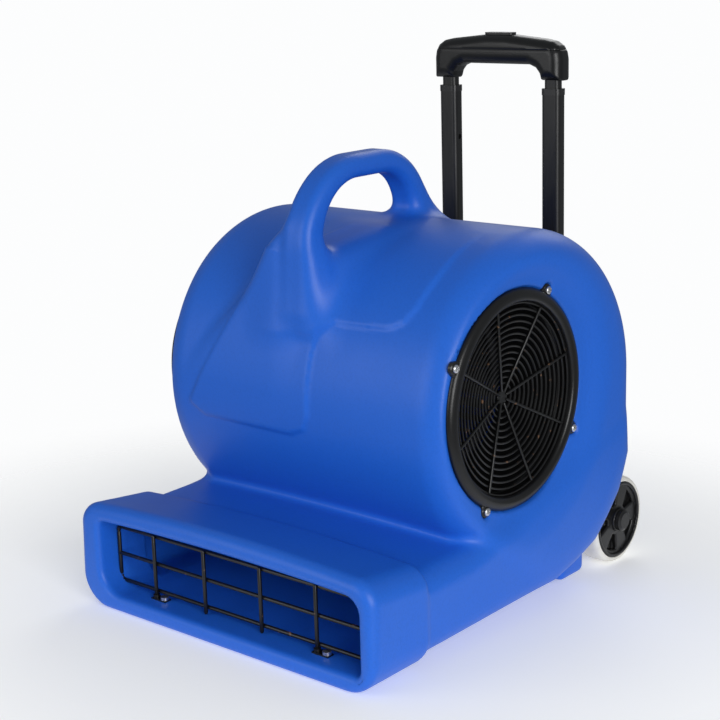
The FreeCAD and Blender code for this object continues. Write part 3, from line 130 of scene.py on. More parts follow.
def make_floor():
    """A pale disc that fades into the backdrop round the object."""
    floor = bpy.data.objects.new("floor", bpy.data.meshes.new("floor"))
    mesh = bmesh.new()
    bmesh.ops.create_circle(mesh, cap_ends=True, segments=FLOOR_SIDES, radius=FLOOR_RADIUS)
    mesh.to_mesh(floor.data)
    mesh.free()
    bpy.context.scene.collection.objects.link(floor)
    material = bpy.data.materials.new("floor")
    material.use_nodes = True
    tree = material.node_tree
    shader = tree.nodes["Principled BSDF"]
    shader.inputs["Base Color"].default_value = PALE
    shader.inputs["Roughness"].default_value = FLOOR_ROUGHNESS
    shader.inputs["Emission Color"].default_value = PALE
    shader.inputs["Emission Strength"].default_value = FLOOR_GLOW
    place = tree.nodes.new("ShaderNodeTexCoord")
    distance = tree.nodes.new("ShaderNodeVectorMath")
    distance.operation = "LENGTH"
    fade = tree.nodes.new("ShaderNodeMapRange")
    fade.inputs["From Min"].default_value = FADE_START
    fade.inputs["From Max"].default_value = FADE_END
    fade.interpolation_type = "SMOOTHSTEP"
    clear = tree.nodes.new("ShaderNodeBsdfTransparent")
    mix = tree.nodes.new("ShaderNodeMixShader")
    tree.links.new(place.outputs["Object"], distance.inputs[0])
    tree.links.new(distance.outputs["Value"], fade.inputs["Value"])
    tree.links.new(fade.outputs["Result"], mix.inputs["Fac"])
    tree.links.new(shader.outputs["BSDF"], mix.inputs[1])
    tree.links.new(clear.outputs["BSDF"], mix.inputs[2])
    tree.links.new(mix.outputs["Shader"], tree.nodes["Material Output"].inputs["Surface"])
    floor.data.materials.append(material)


# ---------------------------------------------------------------- materials

# Where a Mix node of colours keeps its factor, its two colours and its result.
MIX_FACTOR, MIX_FROM, MIX_TO, MIX_RESULT = 0, 6, 7, 2
FAINT_EDGE, CLEAR_EDGE = 0.52, 0.6
BLUE, BLACK, ZINC = (0.014, 0.122, 0.60), (0.0045, 0.0045, 0.0048), (0.72, 0.72, 0.73)
RUBBED, RUST, DIRT = (0.05, 0.05, 0.05), (0.16, 0.085, 0.045), (0.42, 0.39, 0.34)


class Finish:
    """A Principled material, with short calls for the nodes that give it its grain and wear."""

    def __init__(self, name, colour, roughness, metallic=0.0, **sockets):
        self.material = bpy.data.materials.new(name)
        self.material.use_nodes = True
        self.tree = self.material.node_tree
        self.shader = self.tree.nodes["Principled BSDF"]
        self.place = self.tree.nodes.new("ShaderNodeTexCoord").outputs["Object"]
        self.set("Base Color", (*colour, 1.0))
        self.set("Roughness", roughness)
        self.set("Metallic", metallic)
        for socket, value in sockets.items():
            self.set(socket.replace("_", " ").title().replace("Ior", "IOR"), value)
        self.relief = None

    def set(self, socket, value):
        self.shader.inputs[socket].default_value = value

    def link(self, output, target):
        self.tree.links.new(output, target)

    def stretched(self, scale):
        """The object's own coordinates, scaled along each axis."""
        node = self.tree.nodes.new("ShaderNodeMapping")
        node.inputs["Scale"].default_value = scale
        self.link(self.place, node.inputs["Vector"])
        return node.outputs["Vector"]

    def noise(self, scale, detail, rough=0.5, where=None):
        node = self.tree.nodes.new("ShaderNodeTexNoise")
        node.inputs["Scale"].default_value = scale
        node.inputs["Detail"].default_value = detail
        node.inputs["Roughness"].default_value = rough
        self.link(where or self.place, node.inputs["Vector"])
        return node.outputs["Fac"]

    def cells(self, scale):
        node = self.tree.nodes.new("ShaderNodeTexVoronoi")
        node.feature = "SMOOTH_F1"
        node.inputs["Scale"].default_value = scale
        self.link(self.place, node.inputs["Vector"])
        return node.outputs["Distance"]

    def spread(self, value, low, high, start=0.0, end=1.0):
        """value from start to end, spread from low to high."""
        node = self.tree.nodes.new("ShaderNodeMapRange")
        for socket, number in (("From Min", start), ("From Max", end), ("To Min", low), ("To Max", high)):
            node.inputs[socket].default_value = number
        self.link(value, node.inputs["Value"])
        return node.outputs["Result"]

    def tint(self, amount, colour):
        """Carry the base colour towards another by a varying amount."""
        node = self.tree.nodes.new("ShaderNodeMix")
        node.data_type = "RGBA"
        self.link(amount, node.inputs[MIX_FACTOR])
        source = self.shader.inputs["Base Color"]
        if source.is_linked:
            self.link(source.links[0].from_socket, node.inputs[MIX_FROM])
        else:
            node.inputs[MIX_FROM].default_value = source.default_value
        node.inputs[MIX_TO].default_value = (*colour, 1.0)
        self.link(node.outputs[MIX_RESULT], source)

    def mottle(self, pattern, amount, colour, start=0.0, end=1.0):
        """Tint towards a colour by up to amount, as a pattern goes from start to end."""
        self.tint(self.spread(pattern, 0.0, amount, start, end), colour)

    def vary_roughness(self, value, low, high):
        self.link(self.spread(value, low, high), self.shader.inputs["Roughness"])

    def bump(self, height, distance, strength):
        """Raise the surface by height times distance, in metres, over any bump made before."""
        node = self.tree.nodes.new("ShaderNodeBump")
        node.inputs["Distance"].default_value = distance
        node.inputs["Strength"].default_value = strength
        self.link(height, node.inputs["Height"])
        if self.relief is not None:
            self.link(self.relief, node.inputs["Normal"])
        self.relief = node.outputs["Normal"]
        self.link(self.relief, self.shader.inputs["Normal"])

    def edges(self):
        """How sharply the surface turns outwards, about 0.5 on flat faces and more on edges."""
        return self.tree.nodes.new("ShaderNodeNewGeometry").outputs["Pointiness"]


def lighter(colour, factor):
    """A colour times a factor, which darkens it when below 1."""
    return tuple(min(1.0, part * factor) for part in colour)


def rotomoulded(name, colour):
    """Polyethylene from a hot mould: satin, with a slow waviness and a fine pebble."""
    finish = Finish(name, colour, 0.42, specular_ior_level=0.34)
    finish.mottle(finish.noise(5, 3), 0.35, lighter(colour, 1.28))
    finish.mottle(finish.noise(420, 2), 0.25, lighter(colour, 0.7), 0.45, 0.8)
    finish.vary_roughness(finish.noise(16, 4), 0.34, 0.5)
    finish.bump(finish.noise(22, 2), 0.0012, 0.35)
    finish.bump(finish.cells(850), 0.00012, 0.5)
    return finish.material


def black_moulding(name, colour, roughness=0.3, grain=900):
    """Injection moulded plastic with a spark eroded texture and paler edges where it is rubbed."""
    finish = Finish(name, colour, roughness, specular_ior_level=0.4)
    finish.mottle(finish.noise(9, 4), 0.5, lighter(colour, 1.9))
    finish.mottle(finish.edges(), 0.25, RUBBED, FAINT_EDGE, CLEAR_EDGE)
    finish.vary_roughness(finish.noise(30, 4), roughness - 0.08, roughness + 0.12)
    finish.bump(finish.cells(grain), 0.00008, 0.6)
    return finish.material


def coated_wire(name, colour):
    """Dipped plastic on steel wire, thick and glossy, with rust where it has chipped."""
    finish = Finish(name, colour, 0.32)
    finish.mottle(finish.noise(130, 3, 0.6), 1.0, RUST, 0.66, 0.72)
    finish.vary_roughness(finish.noise(60, 3), 0.24, 0.45)
    finish.bump(finish.noise(320, 2), 0.0003, 0.35)
    return finish.material


def plated(name, colour):
    """Zinc plate, dulled in patches."""
    finish = Finish(name, colour, 0.25, metallic=1.0)
    finish.mottle(finish.noise(240, 3), 0.6, lighter(colour, 0.62))
    finish.vary_roughness(finish.noise(400, 3), 0.18, 0.45)
    finish.bump(finish.noise(900, 2), 0.00006, 0.5)
    return finish.material


def anodised(name, colour):
    """Black anodised tube with drawing marks along it."""
    finish = Finish(name, colour, 0.34, metallic=0.35)
    streaks = finish.noise(1.0, 3, where=finish.stretched((900, 900, 9)))
    finish.mottle(streaks, 0.5, lighter(colour, 2.2), 0.3, 0.9)
    finish.vary_roughness(streaks, 0.27, 0.46)
    finish.bump(streaks, 0.00004, 0.5)
    return finish.material


def pale_tyre(name, colour):
    """Smooth pale rubber, with a little floor dirt on its tread."""
    finish = Finish(name, colour, 0.5)
    finish.mottle(finish.noise(28, 5, 0.6), 0.5, DIRT, 0.45, 0.8)
    finish.mottle(finish.noise(400, 3), 0.12, lighter(colour, 0.8))
    finish.vary_roughness(finish.noise(50, 4), 0.42, 0.66)
    finish.bump(finish.noise(500, 3), 0.0001, 0.5)
    return finish.material


def rubber(name, colour):
    """Dull black rubber, paler where it is worn."""
    finish = Finish(name, colour, 0.75)
    finish.mottle(finish.noise(60, 5), 0.5, lighter(colour, 2.4))
    finish.bump(finish.noise(900, 3), 0.0002, 0.6)
    return finish.material


def ground_steel(name, colour):
    """Steel turned or ground to size, with fine marks round the x axis."""
    finish = Finish(name, colour, 0.28, metallic=1.0)
    marks = finish.noise(1.0, 2, where=finish.stretched((2600, 60, 60)))
    finish.mottle(marks, 0.4, lighter(colour, 0.6))
    finish.vary_roughness(marks, 0.18, 0.4)
    finish.bump(marks, 0.00003, 0.6)
    return finish.material


def cast_metal(name, colour):
    """A die casting: pale grey, dull and pitted."""
    finish = Finish(name, colour, 0.55, metallic=0.85)
    finish.mottle(finish.noise(70, 5), 0.5, lighter(colour, 0.6))
    finish.vary_roughness(finish.noise(200, 3), 0.42, 0.68)
    finish.bump(finish.noise(420, 4), 0.0003, 0.5)
    return finish.material


def enamelled(name, colour):
    """Stoved enamel on sheet steel, with a little orange peel."""
    finish = Finish(name, colour, 0.35, coat_weight=0.3)
    finish.mottle(finish.noise(20, 3), 0.4, lighter(colour, 1.7))
    finish.vary_roughness(finish.noise(90, 2), 0.28, 0.46)
    finish.bump(finish.noise(480, 1), 0.0002, 0.35)
    return finish.material


def laminated_iron(name, colour):
    """Stacked core plates, seen as fine lines across the axis."""
    finish = Finish(name, colour, 0.5, metallic=0.9)
    plates = finish.noise(1.0, 0, where=finish.stretched((1900, 4, 4)))
    finish.mottle(plates, 0.8, lighter(colour, 0.4), 0.4, 0.6)
    finish.bump(plates, 0.0003, 0.6)
    return finish.material


def wound_copper(name, colour):
    """Enamelled wire laid side by side."""
    finish = Finish(name, colour, 0.3, metallic=0.9)
    strands = finish.noise(1.0, 1, where=finish.stretched((180, 1500, 1500)))
    finish.mottle(strands, 0.8, lighter(colour, 0.35), 0.35, 0.65)
    finish.bump(strands, 0.0006, 0.8)
    return finish.material


def lens_red(name, colour):
    """A clear red lens with a pattern of small cells."""
    finish = Finish(name, colour, 0.12, transmission_weight=0.5, ior=1.49)
    finish.mottle(finish.noise(300, 1), 0.4, lighter(colour, 1.3))
    finish.bump(finish.cells(1400), 0.0002, 0.4)
    return finish.material


materials = {
    "blue_shell": rotomoulded("blue_shell", BLUE),
    "black_moulding": black_moulding("black_moulding", BLACK),
    "black_wire": coated_wire("black_wire", BLACK),
    "bright_screws": plated("bright_screws", ZINC),
    "black_tube": anodised("black_tube", (0.014, 0.014, 0.014)),
    "pale_tyre": pale_tyre("pale_tyre", (0.80, 0.78, 0.72)),
    "black_rubber": rubber("black_rubber", (0.02, 0.02, 0.02)),
    "fan_plastic": black_moulding("fan_plastic", (0.02, 0.02, 0.022), 0.36, 500),
    "bright_steel": ground_steel("bright_steel", (0.6, 0.6, 0.62)),
    "bearing_steel": ground_steel("bearing_steel", (0.66, 0.66, 0.68)),
    "cast_bells": cast_metal("cast_bells", (0.5, 0.5, 0.51)),
    "motor_paint": enamelled("motor_paint", (0.06, 0.06, 0.065)),
    "core_iron": laminated_iron("core_iron", (0.25, 0.25, 0.26)),
    "copper": wound_copper("copper", (0.72, 0.33, 0.14)),
    "capacitor_can": enamelled("capacitor_can", (0.62, 0.63, 0.65)),
    "red_lens": lens_red("red_lens", (0.75, 0.04, 0.02)),
}


def paint_nodes():
    """Give every CAD node the material of its slot."""
    for part in frame["record"]["subparts"]:
        mesh = nodes[part["node"]].data
        mesh.materials.clear()
        mesh.materials.append(materials[part["material_slot"]])


# ---------------------------------------------------------------- solids from distance fields
#
# A field is a function of x, y and z that is negative inside a solid, zero on its skin and
# grows with the distance from it. Fields join and cut smoothly, as moulded plastic does.

FAR = 1e4
SLOPE_REACH, LEAST_SLOPE, SETTLE_ROUNDS, TINY = 0.2, 0.25, 3, 1e-9


def smooth_step(value):
    value = np.clip(value, 0, 1)
    return value * value * (3 - 2 * value)


def join(first, second, blend):
    """Both solids, with a fillet about as wide as blend where they meet."""
    fillet = np.maximum(blend - np.abs(first - second), 0) / blend
    return np.minimum(first, second) - fillet * fillet * blend / 4


def overlap(first, second, blend):
    """What both solids share, with round edges."""
    return -join(-first, -second, blend)


def cut(solid, tool, blend):
    """A solid without the tool's, with round edges."""
    return overlap(solid, -tool, blend)


def extruded(outline, across, half_length, round_edge):
    """An outline's distance carried both ways from its plane, with round edges."""
    out = outline + round_edge
    along = np.abs(across) - half_length + round_edge
    return (np.minimum(np.maximum(out, along), 0)
            + np.hypot(np.maximum(out, 0), np.maximum(along, 0)) - round_edge)


def rectangle(u, v, half_u, half_v, corner):
    """Distance to a rectangle with round corners, centred on 0."""
    du = np.abs(u) - half_u + corner
    dv = np.abs(v) - half_v + corner
    return np.minimum(np.maximum(du, dv), 0) + np.hypot(np.maximum(du, 0), np.maximum(dv, 0)) - corner


def hull_of_circles(y, z, first, second):
    """Two circles, each (y, z, radius), joined by their outer tangents."""
    length = math.hypot(second[0] - first[0], second[1] - first[1])
    way_y, way_z = (second[0] - first[0]) / length, (second[1] - first[1]) / length
    along = (y - first[0]) * way_y + (z - first[1]) * way_z
    across = np.abs((z - first[1]) * way_y - (y - first[0]) * way_z)
    lean = (first[2] - second[2]) / length
    level = math.sqrt(1 - lean * lean)
    share = level * along - lean * across
    beside = level * across + lean * along - first[2]
    at_first = np.hypot(across, along) - first[2]
    at_second = np.hypot(across, along - length) - second[2]
    return np.where(share < 0, at_first, np.where(share > level * length, at_second, beside))


def polygon(u, v, points):
    """Distance to a closed outline of straight sides."""
    nearest = np.full(np.broadcast(u, v).shape, np.inf)
    inside = np.zeros(nearest.shape, bool)
    for (au, av), (bu, bv) in zip(points, points[1:] + points[:1]):
        du, dv = bu - au, bv - av
        share = np.clip(((u - au) * du + (v - av) * dv) / (du * du + dv * dv), 0, 1)
        nearest = np.minimum(nearest, (u - au - share * du) ** 2 + (v - av - share * dv) ** 2)
        if dv:
            inside ^= ((v < av) != (v < bv)) & (u < (v - av) * du / dv + au)
    return np.where(inside, -1, 1) * np.sqrt(nearest)


def run(y, z, start, end):
    """Distance to a straight run of a centre line."""
    dy, dz = end[0] - start[0], end[1] - start[1]
    share = np.clip(((y - start[0]) * dy + (z - start[1]) * dz) / (dy * dy + dz * dz), 0, 1)
    return np.hypot(y - start[0] - share * dy, z - start[1] - share * dz)


def bend(y, z, centre, radius, first, last):
    """Distance to an arc of a centre line, or a large number beyond its ends."""
    angle = np.degrees(np.arctan2(z - centre[1], y - centre[0]))
    away = np.abs(np.hypot(y - centre[0], z - centre[1]) - radius)
    return np.where((angle >= first) & (angle <= last), away, FAR)


def net(field, low, high, step):
    """Points and four-sided faces on the zero skin of a field, one point in each cell it crosses."""
    axes = [np.arange(a, b + step, step) for a, b in zip(low, high)]
    value = field(*np.meshgrid(*axes, indexing="ij", sparse=True)).astype(np.float32)
    solid = value < 0
    corners = [(a, b, c) for a in (0, 1) for b in (0, 1) for c in (0, 1)]
    size = [n - 1 for n in value.shape]

    def shifted(corner):
        return tuple(slice(d, d + n) for d, n in zip(corner, size))

    count = sum(solid[shifted(corner)].astype(np.int8) for corner in corners)
    crossed = (count > 0) & (count < 8)
    number = np.full(size, -1)
    number[crossed] = np.arange(crossed.sum())
    cells = np.argwhere(crossed)
    total, hits = np.zeros(cells.shape), np.zeros(len(cells))
    for corner in corners:
        for axis in range(3):
            if corner[axis]:
                continue
            step_to = np.eye(3, dtype=int)[axis]
            here = value[tuple((cells + corner).T)]
            there = value[tuple((cells + corner + step_to).T)]
            hit = (here < 0) != (there < 0)
            share = np.where(hit, here / np.where(hit, here - there, 1), 0)
            total += hit[:, None] * (cells + corner + share[:, None] * step_to)
            hits += hit
    points = np.array(low) + step * total / hits[:, None]
    faces = []
    for axis in range(3):
        second, third = (axis + 1) % 3, (axis + 2) % 3
        flips = np.argwhere(np.diff(solid.astype(np.int8), axis=axis) != 0)
        inner = np.all([(flips[:, a] > 0) & (flips[:, a] < size[a]) for a in (second, third)], axis=0)
        flips = flips[inner]
        ring = []
        for back, down in ((1, 1), (0, 1), (0, 0), (1, 0)):
            cell = flips.copy()
            cell[:, second] -= back
            cell[:, third] -= down
            ring.append(number[tuple(cell.T)])
        ring = np.stack(ring, 1)
        outward = solid[tuple(flips.T)]
        ring[~outward] = ring[~outward][:, ::-1]
        faces.append(ring)
    return points, np.concatenate(faces)


def slope(field, points):
    """The field's gradient at each point."""
    parts = []
    for axis in np.eye(3):
        ahead, behind = points + axis * SLOPE_REACH, points - axis * SLOPE_REACH
        parts.append((field(*ahead.T) - field(*behind.T)) / (2 * SLOPE_REACH))
    return np.stack(parts, 1)


def settled(points, field, limit):
    """Points moved onto the field's skin, each by no more than limit a round."""
    for _ in range(SETTLE_ROUNDS):
        way = slope(field, points)
        move = way * (field(*points.T) / np.maximum((way ** 2).sum(1), LEAST_SLOPE))[:, None]
        length = np.linalg.norm(move, axis=1)
        points = points - move * np.minimum(1, limit / np.maximum(length, TINY))[:, None]
    return points


# ---------------------------------------------------------------- the moulded housing

# Circles as (y, z, radius).
UPPER_SCROLL, LOWER_SCROLL = (290.0, 211.0, 170.0), (310.0, 157.0, 150.0)
DRUM_HALF_WIDTH, DRUM_RIM, WALL = 201.0, 45.0, 6.5
DISH_DEPTH, DISH_START, DISH_WIDTH, DISH_BLEND = 14.0, 113.0, 46.0, 8

SEAT_X, FLANGE_RADIUS, FLANGE_GAP, INLET_RADIUS = 183.0, 111.5, 0.8, 101.0
SEAT_BACKING_RADIUS, SEAT_BACKING_X, SEAT_BLEND, EAR_BLEND = 127, 175, 2.5, 3
EAR_CIRCLE, EAR_RADIUS, EAR_START = 114.0, 6.5, {"right": 62.0, "left": 32.0}

BASE_HALF_WIDTH, BASE_ROUND, BASE_BLEND = 197.0, 22.0, 12
BASE_OUTLINE = [(60, 7), (310, 7), (385, 28), (433, 72), (454, 118), (440, 165), (381, 152),
                (304, 124), (232, 104), (165, 96), (60, 95)]
BASE_CROWN, BASE_CROWN_RISE, BASE_CROWN_END, BASE_CROWN_RUN = 7.0, 90, 230, 90

COLLAR_HALF_WIDTH, COLLAR_TOP, COLLAR_BOTTOM, COLLAR_DEPTH = 199.0, 115.5, -LIFT / MM - 0.2, 84.0
COLLAR_CROWN, COLLAR_FALL, COLLAR_FALL_END = 8.0, 0.13, 120
COLLAR_UPPER_CORNER, COLLAR_LOWER_CORNER = 24.0, 36.0
COLLAR_FRONT_EDGE, COLLAR_TOP_EDGE, COLLAR_REAR_EDGE = 7.0, 6.0, 4.0

MOUTH_LEFT, MOUTH_RIGHT, MOUTH_BOTTOM, MOUTH_TOP, MOUTH_DEPTH = -170.0, 181.0, 13.0, 95.0, 175.0
MOUTH_CROWN, MOUTH_FALL, MOUTH_FALL_END, MOUTH_BLEND = 4.5, 0.16, 90, 7
MOUTH_LEFT_CORNERS, MOUTH_RIGHT_CORNERS = (8.0, 26.0), (16.0, 8.0)

LOOP_HALF_WIDTH, LOOP_EDGE, LOOP_FRONT_Y, LOOP_TOP = 18.0, 11.0, 146.0, 443.5
LOOP_FRONT_BEND, LOOP_REAR_BEND, LOOP_REAR_Y = 74.0, 60.0, 258.0
LOOP_REAR_TURN, LOOP_REAR_LEG, LOOP_FOOT = 60.0, 68.0, (LOOP_FRONT_Y + 2, 310)
LOOP_THICKNESS, LOOP_THICKENING, LOOP_THICK_BELOW, LOOP_THICK_RUN = 12.0, 2.5, 385, 50
LOOP_FRONT_REACH, LOOP_BLEND = 12.5, 8

LEG_TOP, LEG_FRONT, LEG_LEAN, LEG_STEP = 412.0, 14.5, 0.02, 2
LEG_FLANK_WAY, LEG_FLANK_X, LEG_FLANK_Y, LEG_FLANK_LEAN = (0.8, 0.6), 8, 131.5, 0.074
LEG_RIGHT_LEAN, LEG_LEFT_LEAN, LEG_LEFT_RISE = 0.17, 0.615, 45
LEG_REAR, LEG_FOOT, LEG_TOP_ROUND = 156, 236, 12
LEG_FLANK_BLEND, LEG_RIGHT_BLEND, LEG_LEFT_BLEND = 16, 10, 14

WEB_X, WEB_HALF_WIDTH, WEB_TOP = -4, 16, 360.0
WEB_FRONT, WEB_REAR, WEB_FOOT = 150, 232, 312
WEB_TOP_BLEND, WEB_END_BLEND = 24, 20

SHIELD_OUTLINE = [
    (-147, -14), (-126, -27), (-5, -28), (14, -20), (21, -4), (21, 60), (26, 80), (41, 92),
    (105, 95), (122, 103), (131, 121), (136, 163), (136, 285), (-18, 285), (-18, 200)]
SHIELD_RELIEF, SHIELD_EDGE, SHIELD_FADE_START, SHIELD_FADE_RUN, SHIELD_DEPTH = 2.6, 5.0, 150, 110, 20

# Half width, half length and corner of the control panel's flat, the wall behind it and its window.
PANEL_FLAT, PANEL_BACKING, PANEL_WINDOW = (52, 54, 7), (58, 60, 4), (34, 20, 3)
PANEL_ANGLE, PANEL_REACH, PANEL_BLEND = math.radians(36.0), 161.0, 3

AXLE_Y, AXLE_BORE = 473.0, 6.4
AXLE_Z = ((joints["right_wheel_spin"]["pos_m"][2] - LIFT) / MM / math.cos(STANCE)
          - AXLE_Y * math.tan(STANCE))
BOSS_ROOT, BOSS_RADIUS, BOSS_X, BOSS_HALF_WIDTH, BOSS_EDGE = (378.0, 52.0, 36.0), 17.0, 114, 15, 4
HEEL_X, HEEL_Y, HEEL_Z, HEEL_SECTION, HEEL_HALF_WIDTH, HEEL_EDGE = 151, 373, 24, (23, 35, 8), 19, 7
FOOT_GAP = 0.3

HOUSING_LOW, HOUSING_HIGH = (-204, -3, -14), (204, 496, 460)
HOUSING_STEP, SETTLE_LIMIT, INSIDE_DETAIL = 3.2, 1.2, 0.6


def scroll_angle(y, z):
    """The angle round the upper scroll, 0 at the front and 90 degrees on top."""
    return np.degrees(np.arctan2(z - UPPER_SCROLL[1], UPPER_SCROLL[0] - y))


def shield(x, y, z):
    """How far the raised plate below the handle stands out of the drum."""
    arc = np.radians(scroll_angle(y, z)) * UPPER_SCROLL[2]
    inside = -polygon(x, arc, SHIELD_OUTLINE)
    fade = 1 - smooth_step((arc - SHIELD_FADE_START) / SHIELD_FADE_RUN)
    return SHIELD_RELIEF * smooth_step(inside / SHIELD_EDGE + 0.5) * fade


def drum(x, y, z):
    """The scroll, whose sides sink a little round the inlets."""
    away = np.hypot(y - FAN_Y, z - FAN_Z)
    dish = DISH_DEPTH * (1 - smooth_step((away - DISH_START) / DISH_WIDTH))
    outline = hull_of_circles(y, z, UPPER_SCROLL, LOWER_SCROLL)
    whole = extruded(outline, x, DRUM_HALF_WIDTH, DRUM_RIM)
    return overlap(whole, np.abs(x) - DRUM_HALF_WIDTH + dish, DISH_BLEND)


def base(x, y, z):
    """The low body under the drum, whose top falls a little to both sides near the collar."""
    lowered = (BASE_CROWN * (x / BASE_HALF_WIDTH) ** 2 * smooth_step(z / BASE_CROWN_RISE)
               * smooth_step((BASE_CROWN_END - y) / BASE_CROWN_RUN))
    return extruded(polygon(y, z + lowered, BASE_OUTLINE), x, BASE_HALF_WIDTH, BASE_ROUND)


def collar(x, y, z):
    """The thick frame round the outlet, whose top falls to both sides and towards the back."""
    middle, half_height = (COLLAR_TOP + COLLAR_BOTTOM) / 2, (COLLAR_TOP - COLLAR_BOTTOM) / 2
    lowered = COLLAR_CROWN * (x / COLLAR_HALF_WIDTH) ** 2 + COLLAR_FALL * np.clip(y, 0, COLLAR_FALL_END)
    sunk = z + lowered * smooth_step(z / COLLAR_TOP)
    corner = np.where(sunk > middle, COLLAR_UPPER_CORNER, COLLAR_LOWER_CORNER)
    section = rectangle(x, sunk - middle, COLLAR_HALF_WIDTH, half_height, corner)
    half = COLLAR_DEPTH / 2
    front_edge = COLLAR_FRONT_EDGE + COLLAR_TOP_EDGE * smooth_step(z / COLLAR_TOP)
    return extruded(section, y - half, half, np.where(y < half, front_edge, COLLAR_REAR_EDGE))


def mouth(x, y, z):
    """The outlet's opening, with its own radius at each corner."""
    top = MOUTH_TOP - MOUTH_CROWN * (x / MOUTH_RIGHT) ** 2 - MOUTH_FALL * np.clip(y, 0, MOUTH_FALL_END)
    middle, half = (top + MOUTH_BOTTOM) / 2, (top - MOUTH_BOTTOM) / 2
    across = (MOUTH_RIGHT + MOUTH_LEFT) / 2
    left, right = (np.where(z > middle, *pair) for pair in (MOUTH_LEFT_CORNERS, MOUTH_RIGHT_CORNERS))
    corner = np.where(x < 0, left, right)
    section = rectangle(x - across, z - middle, (MOUTH_RIGHT - MOUTH_LEFT) / 2, half, corner)
    return np.maximum(section, y - MOUTH_DEPTH)


def loop_line(y, z):
    """Distance to the loop handle's centre line."""
    high = LOOP_TOP - LOOP_FRONT_BEND
    turn = math.radians(LOOP_REAR_TURN)
    knee = (LOOP_REAR_Y + LOOP_REAR_BEND * math.sin(turn),
            LOOP_TOP - LOOP_REAR_BEND * (1 - math.cos(turn)))
    foot = (knee[0] + LOOP_REAR_LEG * math.cos(turn), knee[1] - LOOP_REAR_LEG * math.sin(turn))
    return np.minimum.reduce([
        run(y, z, LOOP_FOOT, (LOOP_FRONT_Y, high)),
        bend(y, z, (LOOP_FRONT_Y + LOOP_FRONT_BEND, high), LOOP_FRONT_BEND, 90, 180),
        run(y, z, (LOOP_FRONT_Y + LOOP_FRONT_BEND, LOOP_TOP), (LOOP_REAR_Y, LOOP_TOP)),
        bend(y, z, (LOOP_REAR_Y, LOOP_TOP - LOOP_REAR_BEND), LOOP_REAR_BEND, 90 - LOOP_REAR_TURN, 90),
        run(y, z, knee, foot),
    ])


def loop_handle(x, y, z):
    """The loop, a little thicker where it comes down to the drum."""
    thicker = LOOP_THICKENING * (1 - smooth_step((z - LOOP_THICK_BELOW) / LOOP_THICK_RUN))
    return extruded(loop_line(y, z) - (LOOP_THICKNESS + thicker), x, LOOP_HALF_WIDTH, LOOP_EDGE)


def loop_front(y, z):
    """How far a point lies ahead of the loop's front and top, which bend back above the leg."""
    high = LOOP_TOP - LOOP_FRONT_BEND
    reach = LOOP_FRONT_BEND + LOOP_FRONT_REACH
    upright = LOOP_FRONT_Y - LEG_FRONT + (high - z) * LEG_LEAN - y
    bent = np.hypot(y - LOOP_FRONT_Y - LOOP_FRONT_BEND, z - high) - reach
    return np.where(z < high, upright, np.maximum(bent, upright - LEG_STEP))


def handle_root(x, y, z):
    """The front leg's foot: its flat face widens to the left, and its right side slants back."""
    below = np.maximum(LEG_TOP - z, 0)
    front = loop_front(y, z)
    flank = (LEG_FLANK_WAY[0] * (x + LEG_FLANK_X + LEG_FLANK_LEAN * below)
             - LEG_FLANK_WAY[1] * (y - LEG_FLANK_Y))
    right = x - LOOP_HALF_WIDTH + LEG_RIGHT_LEAN * below
    spread = LEG_LEFT_LEAN * below * smooth_step(below / LEG_LEFT_RISE)
    left = (-(x + LOOP_HALF_WIDTH) - spread) / math.hypot(1, LEG_LEFT_LEAN)
    behind = np.maximum(y - LEG_REAR, z - LEG_TOP + LEG_TOP_ROUND)
    face = overlap(overlap(front, flank, LEG_FLANK_BLEND), right, LEG_RIGHT_BLEND)
    return overlap(overlap(face, left, LEG_LEFT_BLEND), np.maximum(behind, LEG_FOOT - z), LEG_TOP_ROUND)


def handle(x, y, z):
    """The loop and its front leg as one."""
    return join(handle_root(x, y, z), loop_handle(x, y, z), LOOP_BLEND)


def handle_web(x, y, z):
    """The low wall that carries the drum's top forward to the leg."""
    across = np.abs(x - WEB_X) - WEB_HALF_WIDTH
    ends = np.maximum(np.maximum(WEB_FRONT - y, y - WEB_REAR), WEB_FOOT - z)
    return overlap(overlap(across, z - WEB_TOP, WEB_TOP_BLEND), ends, WEB_END_BLEND)


def panel_place(y, z):
    """Height over the control panel's flat, and distance down it from its middle."""
    dy, dz = y - UPPER_SCROLL[0], z - UPPER_SCROLL[1]
    height = dy * math.cos(PANEL_ANGLE) + dz * math.sin(PANEL_ANGLE) - PANEL_REACH
    down = dy * math.sin(PANEL_ANGLE) - dz * math.cos(PANEL_ANGLE)
    return height, down


def axle_boss(x, y, z):
    """The two webs that reach back to the axle."""
    web = hull_of_circles(y, z, BOSS_ROOT, (AXLE_Y, AXLE_Z, BOSS_RADIUS))
    return extruded(web, np.abs(x) - BOSS_X, BOSS_HALF_WIDTH, BOSS_EDGE)


def heel(x, y, z):
    """The two skids under the back of the base."""
    section = rectangle(y - HEEL_Y, z - HEEL_Z, *HEEL_SECTION)
    return extruded(section, np.abs(x) - HEEL_X, HEEL_HALF_WIDTH, HEEL_EDGE)


def foot_pocket(x, y, z):
    """The front feet's pockets stand square to the floor."""
    row_y = y * math.cos(STANCE) - z * math.sin(STANCE) - SETBACK / MM
    row_z = y * math.sin(STANCE) + z * math.cos(STANCE) + LIFT / MM
    low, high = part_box("front_foot_right")
    middle, radius = (low + high) / 2 / MM, (high.x - low.x) / 2 / MM
    round_hole = np.hypot(np.abs(x) - middle.x, row_y - middle.y) - radius - FOOT_GAP
    return np.maximum(round_hole, row_z - high.z / MM)


def around_fan(side, index):
    """The y and z of one of the four ears round a side's inlet."""
    angle = math.radians(EAR_START[side] + 90 * index)
    return FAN_Y + EAR_CIRCLE * math.cos(angle), FAN_Z + EAR_CIRCLE * math.sin(angle)


